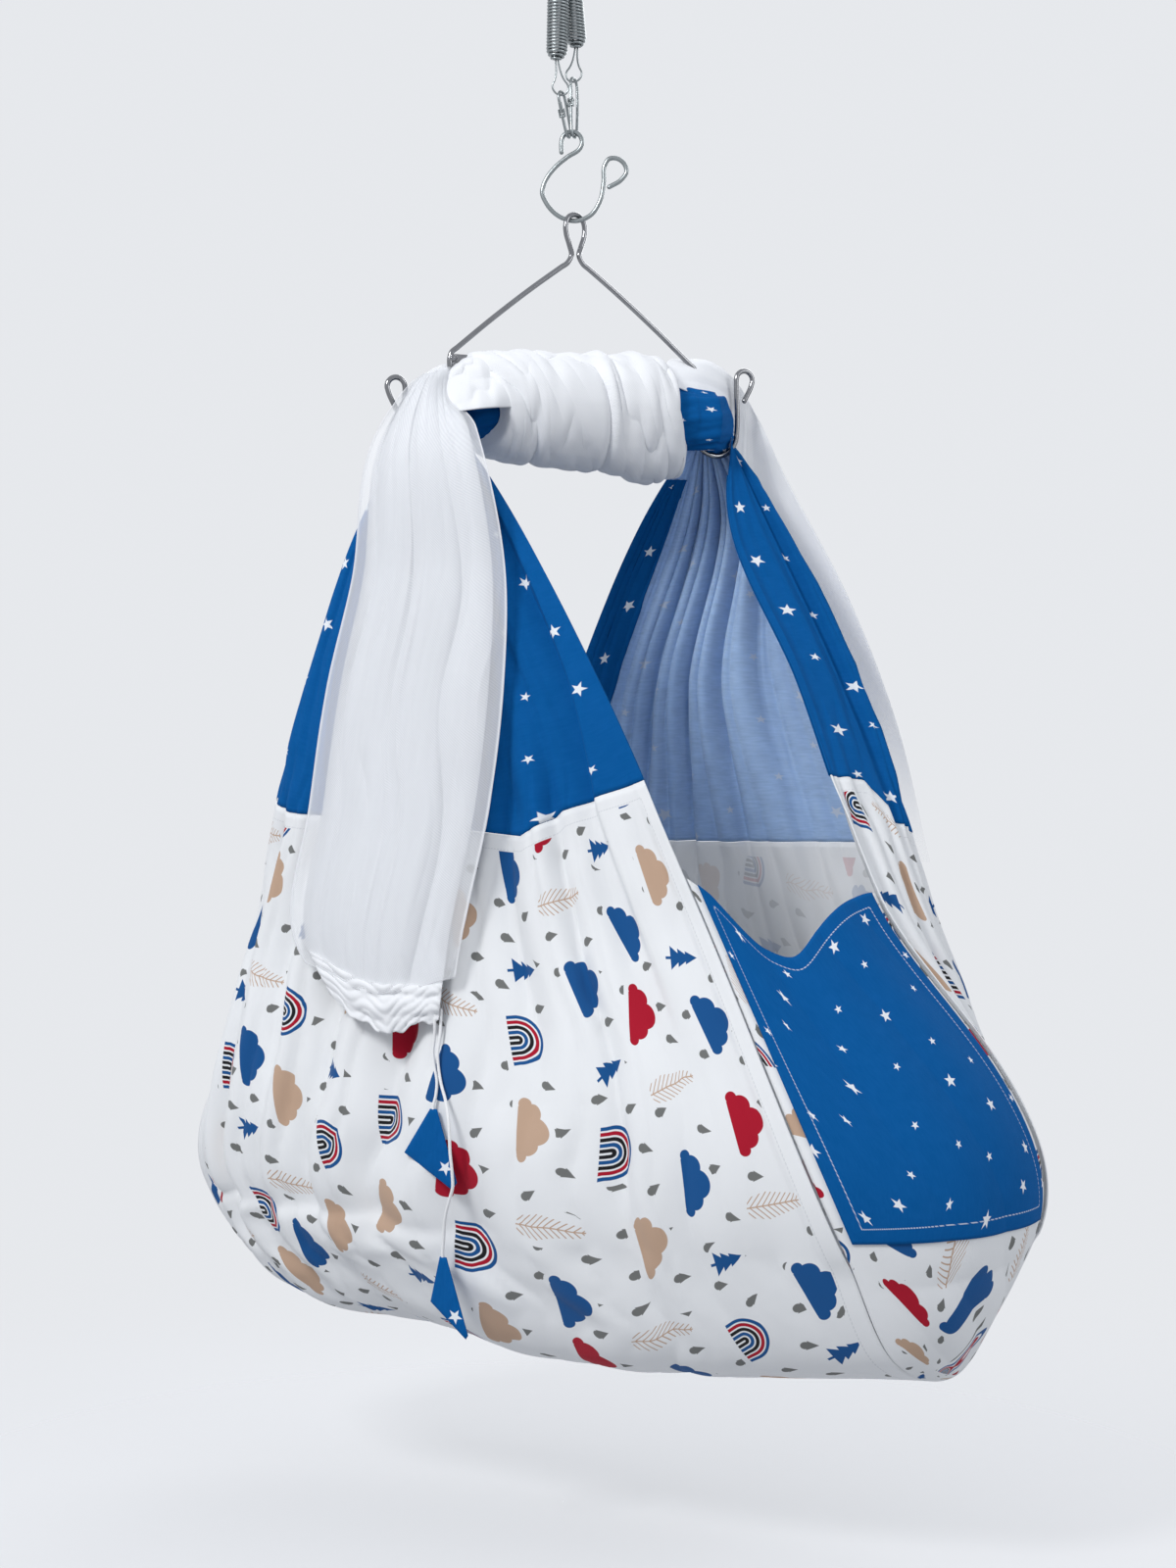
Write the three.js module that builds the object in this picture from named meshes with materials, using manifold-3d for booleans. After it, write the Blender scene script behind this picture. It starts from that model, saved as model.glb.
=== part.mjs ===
// Hanging baby cradle: a cloth cradle on a wire hanger, hung from two springs.
// Millimetres, +Z up. The origin is the point where a ceiling hook bears inside the hang link.
// X runs along the length of the cradle and Y across it.
import * as THREE from 'three';
import { mergeVertices } from 'three/addons/utils/BufferGeometryUtils.js';
import Module from 'manifold-3d';

const wasm = await Module();
wasm.setup();

// Clearances
const CLEARANCE = 0.35;
const SEAT_CLEARANCE = 0.75;
const EYE_CLEARANCE = 1.1;
const CUT_CLEARANCE = 0.6;

// Directions of the hardware seen from above, in degrees from +X
const LINK_TURN_DEG = 101;
const S_HOOK_TURN_DEG = 33;
const SNAP_TURN_DEG = 98;
const EYE_TURN_DEG = 75;
const HANGER_TURN_DEG = 58;

// Hang link
const LINK_WIRE = 6;
const LINK_HALF_WIDTH = 24;
const LINK_INNER_HEIGHT = 40;
const LINK_CORNER_RADIUS = 9;
const LINK_CORNER_COUNT = 4;

// Springs
const COIL_WIRE = 2.4;
const COIL_RADIUS = 9.6;
const COIL_PITCH = 3.3;
const COIL_TURN_COUNT = 30;
const COIL_TAPER_COUNT = 3;
const COIL_MOUTH_RADIUS = 4.2;
const COIL_STEP_COUNT = 8;
const COIL_SIDE_COUNT = 5;
const SPRING_SPACING = 25;
const LEFT_BOTTOM_SHIFT = 6.7;
const RIGHT_BOTTOM_SHIFT = 13.2;

// Wire eyes in the ends of the springs
const EYELET_WIRE = 2;
const EYELET_RADIUS = 8;
const EYELET_REACH = 28;
const LEFT_TOP_EXTRA_REACH = 18;
const EYELET_FOOT_HEIGHT = 9;
const EYELET_FOOT_SPREAD = 5;
const EYELET_LEG_DEG = 130;
const EYELET_ARC_COUNT = 12;

// Snap hooks
const SNAP_WIRE = 3.6;
const SNAP_TOP_RADIUS = 7.5;
const SNAP_BOTTOM_RADIUS = 6.2;
const RIGHT_SNAP_LENGTH = 62;
const GATE_SHARE = 0.42;
const GATE_WIDTH = 3.2;
const GATE_PIN_RADIUS = 0.8;
const GATE_EAR = 1.2;
const BOTTOM_EYELET_SHIFT = 3;
const SNAP_SETTLE = 0.8;
const SNAP_ARC_COUNT = 8;
const EAR_HEIGHT = 9;
const BRIDGE_HEIGHT = 1.8;
const BRIDGE_DROP = 5;
const PIN_SIDE_COUNT = 10;

// S-hook
const S_HOOK_WIRE = 4.8;
const S_HOOK_LOOP_RADIUS = 10.5;
const S_HOOK_DROP = 80.5;
const S_HOOK_LOOP_DEG = 216;
const S_HOOK_LOOP_COUNT = 7;
const WIRE_SIDE_COUNT = 8;
const ROD_SIDE_COUNT = 6;

// Hanger
const ROD = 5.5;
const EYE_HALF_WIDTH = 13;
const NECK_DROP = 44;
const BAR_DROP = 154.5;
const SHANK_DISTANCE = 138;
const HOOK_WIDTH = 48;
const TROUGH_DROP = 84;
const LEFT_TIP_RISE = 61;
const RIGHT_TIP_RISE = 91;
const TIP_CURL_WIDTH = 19;
const BAR_HEIGHT = 8;
const BAR_THICKNESS = 2.6;
const WELD_RADIUS = 4.6;
const LINE_LEAN = 12;
const HOOK_ARC_COUNT = 8;
const CURL_ARC_COUNT = 6;
const CURL_DEG = 207;

// Cloth
const CLOTH_THICKNESS = 3;
const FACING_THICKNESS = 1.5;
const POCKET_THICKNESS = 2;
const NET_THICKNESS = 4;
const SACK_HALF_LENGTH = 475;
const SACK_HALF_WIDTH = 215;
const SACK_HEIGHT = 862;
const BUNDLE_DROP = 42;
const BUNDLE_WIDTH = 100;
const BAND_RADIUS = 33;
const WRAP_HALF_LENGTH = 122;
const WRAP_HALF_HEIGHT = 56;
const WRAP_HALF_DEPTH = 47;
const WRAP_SAG_SHARE = 0.09;
const MATTRESS_THICKNESS = 62;
const MATTRESS_HEAD_RISE = 60;
const END_BULGE_SHARE = 0.18;
const END_NOTCH_DEPTH = 50;

// Drawstring and tassels
const STRING_DIAMETER = 3;
const TASSEL_THICKNESS = 4;

const STEEL = { color: 0xa9adb0, roughness: 0.32, metalness: 0.9 };
const CHROME = { color: 0x8f9296, roughness: 0.16, metalness: 1 };
const STAR_CLOTH = { color: 0x0a5ea8, roughness: 0.9, metalness: 0 };
const PRINT_CLOTH = { color: 0xeef0f2, roughness: 0.9, metalness: 0 };
const NET = { color: 0xf4f5f6, roughness: 0.95, metalness: 0 };
const PAD = { color: 0xe4e2dc, roughness: 0.95, metalness: 0 };

// Directions and places

function direction(degrees) {
  const angle = THREE.MathUtils.degToRad(degrees);
  return new THREE.Vector3(Math.cos(angle), Math.sin(angle), 0);
}

const UP = new THREE.Vector3(0, 0, 1);
const side = direction(S_HOOK_TURN_DEG);
const away = direction(S_HOOK_TURN_DEG + 90);
const bar = direction(HANGER_TURN_DEG);
const barNormal = direction(HANGER_TURN_DEG + 90);
const eyeSide = direction(EYE_TURN_DEG);
const linkRun = direction(LINK_TURN_DEG);
const linkNormal = direction(LINK_TURN_DEG - 90);
const hangAxis = side.clone().multiplyScalar(LINE_LEAN);

// A point beside the line through the mount: across it, away from the front, and up
function beside(across, back, up) {
  return new THREE.Vector3(0, 0, up).addScaledVector(side, across).addScaledVector(away, back);
}

// A point in the hanger's own directions, from the hanger's axis
function onHanger(along, back, up) {
  return hangAxis.clone().addScaledVector(bar, along).addScaledVector(barNormal, back).setZ(up);
}

// Levels, each from what the piece hangs on
const linkBottom = -(LINK_INNER_HEIGHT + LINK_WIRE / 2);
const topEyelet = linkBottom + LINK_WIRE / 2 + CLEARANCE - (EYELET_RADIUS - EYELET_WIRE / 2);
const coilLength = COIL_PITCH * COIL_TURN_COUNT;
const rightCoilTop = topEyelet - EYELET_REACH;
const leftCoilTop = rightCoilTop - LEFT_TOP_EXTRA_REACH;
const rightBottomEyelet = rightCoilTop - coilLength - EYELET_REACH;
const leftBottomEyelet = leftCoilTop - coilLength - EYELET_REACH;
const snapSeat = EYELET_RADIUS - EYELET_WIRE / 2 - SEAT_CLEARANCE - SNAP_WIRE / 2;
const rightSnapTop = rightBottomEyelet - snapSeat;
const leftSnapTop = leftBottomEyelet - snapSeat;
const snapBottom = rightSnapTop - RIGHT_SNAP_LENGTH;
const snapCrossing = THREE.MathUtils.degToRad(SNAP_TURN_DEG - S_HOOK_TURN_DEG);
const snapOffset = (SNAP_WIRE / 2 + CLEARANCE) / Math.sin(snapCrossing);
const snapInLoop = S_HOOK_LOOP_RADIUS - S_HOOK_WIRE / 2 - SNAP_WIRE / 2 - 2 * CLEARANCE;
const sHookCentre = snapBottom - Math.sqrt(snapInLoop ** 2 - snapOffset ** 2);
const sHookBottom = sHookCentre - S_HOOK_DROP;
const eyeTop = sHookBottom + S_HOOK_WIRE / 2 + EYE_CLEARANCE + ROD / 2;
const barLevel = eyeTop - BAR_DROP;
const troughLevel = barLevel - TROUGH_DROP;
const hookCentre = SHANK_DISTANCE + HOOK_WIDTH / 2;
const bundleTop = troughLevel - BUNDLE_DROP;
const bandCentre = troughLevel + ROD / 2 + CLEARANCE + BAND_RADIUS;
const wrapCentre = bandCentre + BAND_RADIUS / 12;
const sLoopAcross = LINE_LEAN - S_HOOK_LOOP_RADIUS / 3;

// Geometry helpers

// A route whose steps are the given points, so that straight runs take few and bends take many
class Route extends THREE.Curve {
  constructor(points) {
    super();
    this.points = points;
  }

  getPointAt(share) {
    return this.points[Math.round(share * (this.points.length - 1))].clone();
  }

  getTangentAt(share) {
    const index = Math.round(share * (this.points.length - 1));
    const before = this.points[Math.max(index - 1, 0)];
    const after = this.points[Math.min(index + 1, this.points.length - 1)];
    return after.clone().sub(before).normalize();
  }
}

function smooth(points, perStretch) {
  const curve = new THREE.CatmullRomCurve3(points, false, 'centripetal');
  return curve.getPoints((points.length - 1) * perStretch);
}

function polygon(radius, sides) {
  const corners = [];
  for (let i = 0; i < sides; i += 1) {
    const angle = (2 * Math.PI * i) / sides;
    corners.push(new THREE.Vector2(radius * Math.cos(angle), radius * Math.sin(angle)));
  }
  return new THREE.Shape(corners);
}

function rod(points, diameter, sides) {
  const options = { steps: points.length - 1, bevelEnabled: false, extrudePath: new Route(points) };
  return new THREE.ExtrudeGeometry(polygon(diameter / 2, sides), options);
}

// A rod fattened by a margin, and longer by it at both ends, to cut room for itself
function fatRod(points, diameter, sides, margin) {
  const longer = points.map((point) => point.clone());
  const ends = [[longer[0], points[1]], [longer.at(-1), points.at(-2)]];
  ends.forEach(([end, before]) => end.addScaledVector(end.clone().sub(before).normalize(), margin));
  return rod(longer, diameter + 2 * margin, sides);
}

function buffer(positions, index) {
  const geometry = new THREE.BufferGeometry();
  const places = positions.flatMap((point) => [point.x, point.y, point.z]);
  geometry.setAttribute('position', new THREE.Float32BufferAttribute(places, 3));
  geometry.setIndex(index);
  return outward(geometry);
}

// Turns the faces out where the signed volume is negative
function outward(geometry) {
  const place = geometry.getAttribute('position');
  const index = geometry.getIndex().array;
  const a = new THREE.Vector3();
  const b = new THREE.Vector3();
  const c = new THREE.Vector3();
  let volume = 0;
  for (let i = 0; i < index.length; i += 3) {
    a.fromBufferAttribute(place, index[i]);
    b.fromBufferAttribute(place, index[i + 1]);
    c.fromBufferAttribute(place, index[i + 2]);
    volume += a.dot(b.cross(c));
  }
  if (volume < 0) {
    const turned = [];
    for (let i = 0; i < index.length; i += 3) {
      turned.push(index[i], index[i + 2], index[i + 1]);
    }
    geometry.setIndex(turned);
  }
  geometry.computeVertexNormals();
  return geometry;
}

// A solid through rings of points, capped at both ends, or closed on itself
function loft(rings, closed) {
  const count = rings[0].length;
  const positions = rings.flat();
  const index = [];
  const spans = closed ? rings.length : rings.length - 1;
  for (let i = 0; i < spans; i += 1) {
    const next = (i + 1) % rings.length;
    for (let j = 0; j < count; j += 1) {
      const k = (j + 1) % count;
      index.push(i * count + j, i * count + k, next * count + k);
      index.push(i * count + j, next * count + k, next * count + j);
    }
  }
  if (!closed) {
    [0, rings.length - 1].forEach((i) => {
      const middle = positions.length;
      const centre = new THREE.Vector3();
      rings[i].forEach((point) => centre.add(point));
      positions.push(centre.divideScalar(count));
      for (let j = 0; j < count; j += 1) {
        const k = (j + 1) % count;
        if (i === 0) index.push(i * count + k, i * count + j, middle);
        else index.push(i * count + j, i * count + k, middle);
      }
    });
  }
  return buffer(positions, index);
}

// A sheet between two offsets of a surface, with closed edges
function sheet(surface, across, down, outer, inner) {
  const positions = [];
  const index = [];
  [outer, inner].forEach((offset) => {
    for (let i = 0; i <= across; i += 1) {
      for (let j = 0; j <= down; j += 1) {
        const { point, normal } = surface(i / across, j / down);
        positions.push(point.clone().addScaledVector(normal, offset));
      }
    }
  });
  const layer = (across + 1) * (down + 1);
  const at = (i, j, face) => face * layer + i * (down + 1) + j;
  for (let i = 0; i < across; i += 1) {
    for (let j = 0; j < down; j += 1) {
      index.push(at(i, j, 0), at(i + 1, j, 0), at(i + 1, j + 1, 0));
      index.push(at(i, j, 0), at(i + 1, j + 1, 0), at(i, j + 1, 0));
      index.push(at(i, j, 1), at(i + 1, j + 1, 1), at(i + 1, j, 1));
      index.push(at(i, j, 1), at(i, j + 1, 1), at(i + 1, j + 1, 1));
    }
  }
  const edge = (i, j, m, n) => {
    index.push(at(i, j, 0), at(i, j, 1), at(m, n, 1));
    index.push(at(i, j, 0), at(m, n, 1), at(m, n, 0));
  };
  for (let i = 0; i < across; i += 1) {
    edge(i, 0, i + 1, 0);
    edge(i + 1, down, i, down);
  }
  for (let j = 0; j < down; j += 1) {
    edge(0, j + 1, 0, j);
    edge(across, j, across, j + 1);
  }
  return buffer(positions, index);
}

function solidOf(geometry) {
  const plain = geometry.clone();
  plain.deleteAttribute('normal');
  plain.deleteAttribute('uv');
  plain.clearGroups();
  const merged = mergeVertices(plain, 1e-4);
  const place = new Float32Array(merged.getAttribute('position').array);
  const triangles = new Uint32Array(merged.getIndex().array);
  return new wasm.Manifold(new wasm.Mesh({ numProp: 3, vertProperties: place, triVerts: triangles }));
}

function geometryOf(solid) {
  const mesh = solid.getMesh();
  const geometry = new THREE.BufferGeometry();
  geometry.setAttribute('position', new THREE.Float32BufferAttribute(mesh.vertProperties, 3));
  geometry.setIndex(Array.from(mesh.triVerts));
  geometry.computeVertexNormals();
  return geometry;
}

// Cuts the fattened neighbours out of a piece and keeps the largest body that is left
function clearOf(geometry, neighbours) {
  let solid = solidOf(geometry);
  neighbours.forEach((neighbour) => {
    solid = solid.subtract(solidOf(neighbour));
  });
  const bodies = solid.decompose();
  const largest = bodies.reduce((a, b) => (a.volume() > b.volume() ? a : b));
  return geometryOf(largest);
}

// A smooth curve through points, at a position counted in points, with tangents by chord length
function along(points, position) {
  const last = points.length - 2;
  const i = Math.min(Math.max(Math.floor(position), 0), last);
  const f = position - i;
  const length = points[i].distanceTo(points[i + 1]);
  const slope = (j) => {
    if (j === 0) return points[1].clone().sub(points[0]).normalize();
    if (j === last + 1) return points[j].clone().sub(points[j - 1]).normalize();
    const before = points[j].distanceTo(points[j - 1]);
    const after = points[j + 1].distanceTo(points[j]);
    const first = points[j].clone().sub(points[j - 1]).multiplyScalar(after / before);
    const second = points[j + 1].clone().sub(points[j]).multiplyScalar(before / after);
    return first.add(second).divideScalar(before + after);
  };
  const result = points[i].clone().multiplyScalar(2 * f ** 3 - 3 * f ** 2 + 1);
  result.addScaledVector(slope(i), length * (f ** 3 - 2 * f ** 2 + f));
  result.addScaledVector(points[i + 1], 3 * f ** 2 - 2 * f ** 3);
  return result.addScaledVector(slope(i + 1), length * (f ** 3 - f ** 2));
}

// A surface from a point function, with its normal from small steps
function surfaceOf(pointAt) {
  const step = 1e-3;
  return (a, b) => {
    const across = pointAt(a + step, b).sub(pointAt(a - step, b));
    const down = pointAt(a, b + step).sub(pointAt(a, b - step));
    return { point: pointAt(a, b), normal: across.cross(down).normalize() };
  };
}

const root = new THREE.Group();

function add(name, geometry, look) {
  const mesh = new THREE.Mesh(geometry, new THREE.MeshStandardMaterial(look));
  mesh.name = name;
  root.add(mesh);
  return mesh;
}

// Hang link: a rounded rectangle of wire, its bottom run under both springs

function addHangLink() {
  const halfHeight = (LINK_INNER_HEIGHT + LINK_WIRE) / 2;
  const middle = linkBottom + halfHeight;
  const rings = [];
  [[1, 1], [-1, 1], [-1, -1], [1, -1]].forEach(([signX, signZ], corner) => {
    for (let i = 0; i <= LINK_CORNER_COUNT; i += 1) {
      const angle = (Math.PI / 2) * (corner + i / LINK_CORNER_COUNT);
      const outwardX = Math.cos(angle);
      const outwardZ = Math.sin(angle);
      const centreX = signX * (LINK_HALF_WIDTH - LINK_CORNER_RADIUS);
      const centreZ = middle + signZ * (halfHeight - LINK_CORNER_RADIUS);
      const ring = [];
      for (let j = 0; j < WIRE_SIDE_COUNT; j += 1) {
        const turn = (2 * Math.PI * (j + 1 / 2)) / WIRE_SIDE_COUNT;
        const reach = LINK_CORNER_RADIUS + (LINK_WIRE / 2) * Math.cos(turn);
        const across = (LINK_WIRE / 2) * Math.sin(turn);
        const point = linkRun.clone().multiplyScalar(centreX + reach * outwardX);
        ring.push(point.addScaledVector(linkNormal, across).setZ(centreZ + reach * outwardZ));
      }
      rings.push(ring);
    }
  });
  add('hang_link', loft(rings, true), STEEL);
}

// Springs: one wire wound close, tapered at both ends

const springs = {
  left: {
    top: linkRun.clone().multiplyScalar(-SPRING_SPACING / 2).setZ(leftCoilTop),
    bottom: beside(-LEFT_BOTTOM_SHIFT, -COIL_RADIUS - COIL_WIRE / 2, leftCoilTop - coilLength),
    ring: beside(-BOTTOM_EYELET_SHIFT, -COIL_RADIUS, leftBottomEyelet),
  },
  right: {
    top: linkRun.clone().multiplyScalar(SPRING_SPACING / 2).setZ(rightCoilTop),
    bottom: beside(RIGHT_BOTTOM_SHIFT, COIL_RADIUS + COIL_WIRE / 2, rightCoilTop - coilLength),
    ring: beside(LINE_LEAN - BOTTOM_EYELET_SHIFT / 2, COIL_RADIUS, rightBottomEyelet),
  },
};

function coilRadius(turn) {
  const nearest = Math.min(turn, COIL_TURN_COUNT - turn) / COIL_TAPER_COUNT;
  const share = Math.min(nearest, 1);
  return COIL_MOUTH_RADIUS + (COIL_RADIUS - COIL_MOUTH_RADIUS) * Math.sin((Math.PI / 2) * share);
}

function addSpring(name, ends) {
  const centres = [];
  const rings = [];
  const axis = ends.bottom.clone().sub(ends.top);
  for (let i = 0; i <= COIL_TURN_COUNT * COIL_STEP_COUNT; i += 1) {
    const turn = i / COIL_STEP_COUNT;
    const angle = 2 * Math.PI * turn;
    const radial = new THREE.Vector3(Math.cos(angle), Math.sin(angle), 0);
    const middle = ends.top.clone().addScaledVector(axis, turn / COIL_TURN_COUNT);
    const centre = middle.addScaledVector(radial, coilRadius(turn));
    const ring = [];
    for (let j = 0; j < COIL_SIDE_COUNT; j += 1) {
      const around = (2 * Math.PI * j) / COIL_SIDE_COUNT;
      const point = centre.clone().addScaledVector(radial, (COIL_WIRE / 2) * Math.cos(around));
      ring.push(point.addScaledVector(UP, (COIL_WIRE / 2) * Math.sin(around)));
    }
    centres.push(centre);
    rings.push(ring);
  }
  let least = Infinity;
  for (let i = 0; i < centres.length; i += 1) {
    for (let j = i + COIL_STEP_COUNT / 2; j < centres.length; j += 1) {
      least = Math.min(least, centres[i].distanceTo(centres[j]) - COIL_WIRE);
    }
  }
  console.log(`${name}: least gap to itself ${least.toFixed(2)} mm`);
  add(name, loft(rings, false), STEEL);
}

// Wire eye in a spring's end: two feet inside the coil, two legs through its mouth, and a round eye

function addEyelet(name, mouth, centre) {
  const reach = mouth.clone().sub(centre);
  const outwardDirection = reach.clone().normalize();
  const at = (across, up) => (
    centre.clone().addScaledVector(side, across).addScaledVector(outwardDirection, up)
  );
  const neck = EYELET_WIRE / 2 + CLEARANCE;
  const length = reach.length();
  const points = [at(-EYELET_FOOT_SPREAD, length + EYELET_FOOT_HEIGHT)];
  points.push(at(-neck, length + EYELET_WIRE), at(-neck, length - EYELET_WIRE));
  const legEnd = THREE.MathUtils.degToRad(EYELET_LEG_DEG);
  for (let i = 0; i <= EYELET_ARC_COUNT; i += 1) {
    const angle = -legEnd + (2 * legEnd * i) / EYELET_ARC_COUNT;
    points.push(at(EYELET_RADIUS * Math.sin(angle), -EYELET_RADIUS * Math.cos(angle)));
  }
  points.push(at(neck, length - EYELET_WIRE), at(neck, length + EYELET_WIRE));
  points.push(at(EYELET_FOOT_SPREAD, length + EYELET_FOOT_HEIGHT));
  add(name, rod(points, EYELET_WIRE, ROD_SIDE_COUNT), STEEL);
}

// Snap hook: a bent wire with ears for the gate's pin, and a gate that opens inward

function snapFrame(top, bottom) {
  const group = new THREE.Group();
  const upward = top.clone().sub(bottom).normalize();
  const across = direction(SNAP_TURN_DEG);
  across.addScaledVector(upward, -across.dot(upward)).normalize();
  const normal = across.clone().cross(upward);
  const basis = new THREE.Matrix4().makeBasis(across, upward, normal);
  group.setRotationFromMatrix(basis);
  group.position.copy(top);
  return group;
}

function addSnapHook(name, gateName, top, bottom) {
  const length = top.distanceTo(bottom);
  const topCentre = -SNAP_TOP_RADIUS;
  const bottomCentre = -length + SNAP_BOTTOM_RADIUS;
  const hingeY = -length * GATE_SHARE;
  const share = (topCentre - hingeY) / (topCentre - bottomCentre);
  const hingeX = -(SNAP_TOP_RADIUS + (SNAP_BOTTOM_RADIUS - SNAP_TOP_RADIUS) * share);
  const bodyEnd = hingeY - SNAP_WIRE;
  const flat = (x, y) => new THREE.Vector3(x, y, 0);
  const points = [flat(hingeX, bodyEnd), flat(hingeX, bodyEnd - SNAP_WIRE)];
  const arc = (radius, centre, start) => {
    for (let i = 0; i <= SNAP_ARC_COUNT; i += 1) {
      const angle = start + (Math.PI * i) / SNAP_ARC_COUNT;
      points.push(flat(radius * Math.cos(angle), centre + radius * Math.sin(angle)));
    }
  };
  arc(SNAP_BOTTOM_RADIUS, bottomCentre, Math.PI);
  arc(SNAP_TOP_RADIUS, topCentre, 0);
  const nose = topCentre - SNAP_WIRE / 2;
  points.push(flat(-SNAP_TOP_RADIUS, nose));
  const group = snapFrame(top, bottom);
  root.add(group);

  const earDistance = GATE_WIDTH / 2 + CLEARANCE + GATE_EAR / 2;
  let body = solidOf(rod(points, SNAP_WIRE, WIRE_SIDE_COUNT));
  [-earDistance, earDistance].forEach((z) => {
    const ear = new THREE.BoxGeometry(SNAP_WIRE, EAR_HEIGHT, GATE_EAR);
    ear.translate(hingeX, hingeY - SNAP_WIRE / 2, z);
    body = body.add(solidOf(ear));
  });
  const bridge = new THREE.BoxGeometry(SNAP_WIRE, BRIDGE_HEIGHT, 2 * earDistance + GATE_EAR / 2);
  bridge.translate(hingeX, hingeY - BRIDGE_DROP, 0);
  const pin = new THREE.CylinderGeometry(GATE_PIN_RADIUS, GATE_PIN_RADIUS, 2 * earDistance, PIN_SIDE_COUNT);
  pin.rotateX(Math.PI / 2).translate(hingeX, hingeY, 0);
  body = body.add(solidOf(bridge)).add(solidOf(pin));
  const bodyMesh = new THREE.Mesh(geometryOf(body), new THREE.MeshStandardMaterial(STEEL));
  bodyMesh.name = name;
  group.add(bodyMesh);

  const gateTop = nose - CLEARANCE;
  const gate = new THREE.BoxGeometry(GATE_WIDTH, gateTop - hingeY + GATE_WIDTH / 2, GATE_WIDTH);
  gate.translate(hingeX, (gateTop + hingeY - GATE_WIDTH / 2) / 2, 0);
  const holeRadius = GATE_PIN_RADIUS + CLEARANCE;
  const hole = new THREE.CylinderGeometry(holeRadius, holeRadius, 2 * GATE_WIDTH, PIN_SIDE_COUNT);
  hole.rotateX(Math.PI / 2).translate(hingeX, hingeY, 0);
  const gateSolid = solidOf(gate).subtract(solidOf(hole));
  const gateMesh = new THREE.Mesh(geometryOf(gateSolid), new THREE.MeshStandardMaterial(STEEL));
  gateMesh.name = gateName;
  group.add(gateMesh);
  group.updateMatrixWorld(true);
}

// S-hook: round top loop, a slanted run, a wide cup and a curled safety tip.
// Across and down from the middle of the top loop, as shares of the hook's drop
const S_HOOK_SHARES = [
  [-0.055, -0.19], [-0.215, -0.325], [-0.355, -0.54], [-0.375, -0.64], [-0.32, -0.78], [-0.155, -0.945],
  [0.045, -1], [0.24, -0.925], [0.36, -0.74], [0.405, -0.5], [0.42, -0.29], [0.47, -0.215], [0.555, -0.205],
  [0.66, -0.27], [0.695, -0.37], [0.63, -0.475], [0.475, -0.57],
];

function addSHook() {
  const points = [];
  points.push(beside(sLoopAcross - S_HOOK_LOOP_RADIUS, 0, sHookCentre - S_HOOK_LOOP_RADIUS));
  const loopTurn = THREE.MathUtils.degToRad(S_HOOK_LOOP_DEG);
  for (let i = 0; i <= S_HOOK_LOOP_COUNT; i += 1) {
    const angle = Math.PI - (loopTurn * i) / S_HOOK_LOOP_COUNT;
    const across = S_HOOK_LOOP_RADIUS * Math.cos(angle);
    points.push(beside(sLoopAcross + across, 0, sHookCentre + S_HOOK_LOOP_RADIUS * Math.sin(angle)));
  }
  S_HOOK_SHARES.forEach(([across, down]) => {
    points.push(beside(sLoopAcross + across * S_HOOK_DROP, 0, sHookCentre + down * S_HOOK_DROP));
  });
  add('s_hook', rod(smooth(points, 2), S_HOOK_WIRE, WIRE_SIDE_COUNT), STEEL);
}

// Hanger: eye, neck, arms, shanks and J-hooks, bent from one rod

function hookPoints(sign, tipRise) {
  const riser = SHANK_DISTANCE + HOOK_WIDTH;
  const radius = HOOK_WIDTH / 2;
  const points = [];
  const place = (distance, up) => onHanger(sign * distance, 0, up);
  for (let i = 0; i <= HOOK_ARC_COUNT; i += 1) {
    const angle = Math.PI + (Math.PI * i) / HOOK_ARC_COUNT;
    const up = troughLevel + radius + radius * Math.sin(angle);
    points.push(place(hookCentre + radius * Math.cos(angle), up));
  }
  const tip = troughLevel + tipRise;
  const curl = TIP_CURL_WIDTH / 2;
  points.push(place(riser, tip - 1.5 * curl));
  const curlTurn = THREE.MathUtils.degToRad(CURL_DEG);
  for (let i = 0; i <= CURL_ARC_COUNT; i += 1) {
    const angle = Math.PI - (curlTurn * i) / CURL_ARC_COUNT;
    points.push(place(riser + curl + curl * Math.cos(angle), tip - curl + curl * Math.sin(angle)));
  }
  points.push(place(riser + curl, tip - 3.3 * curl));
  return points;
}

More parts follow.
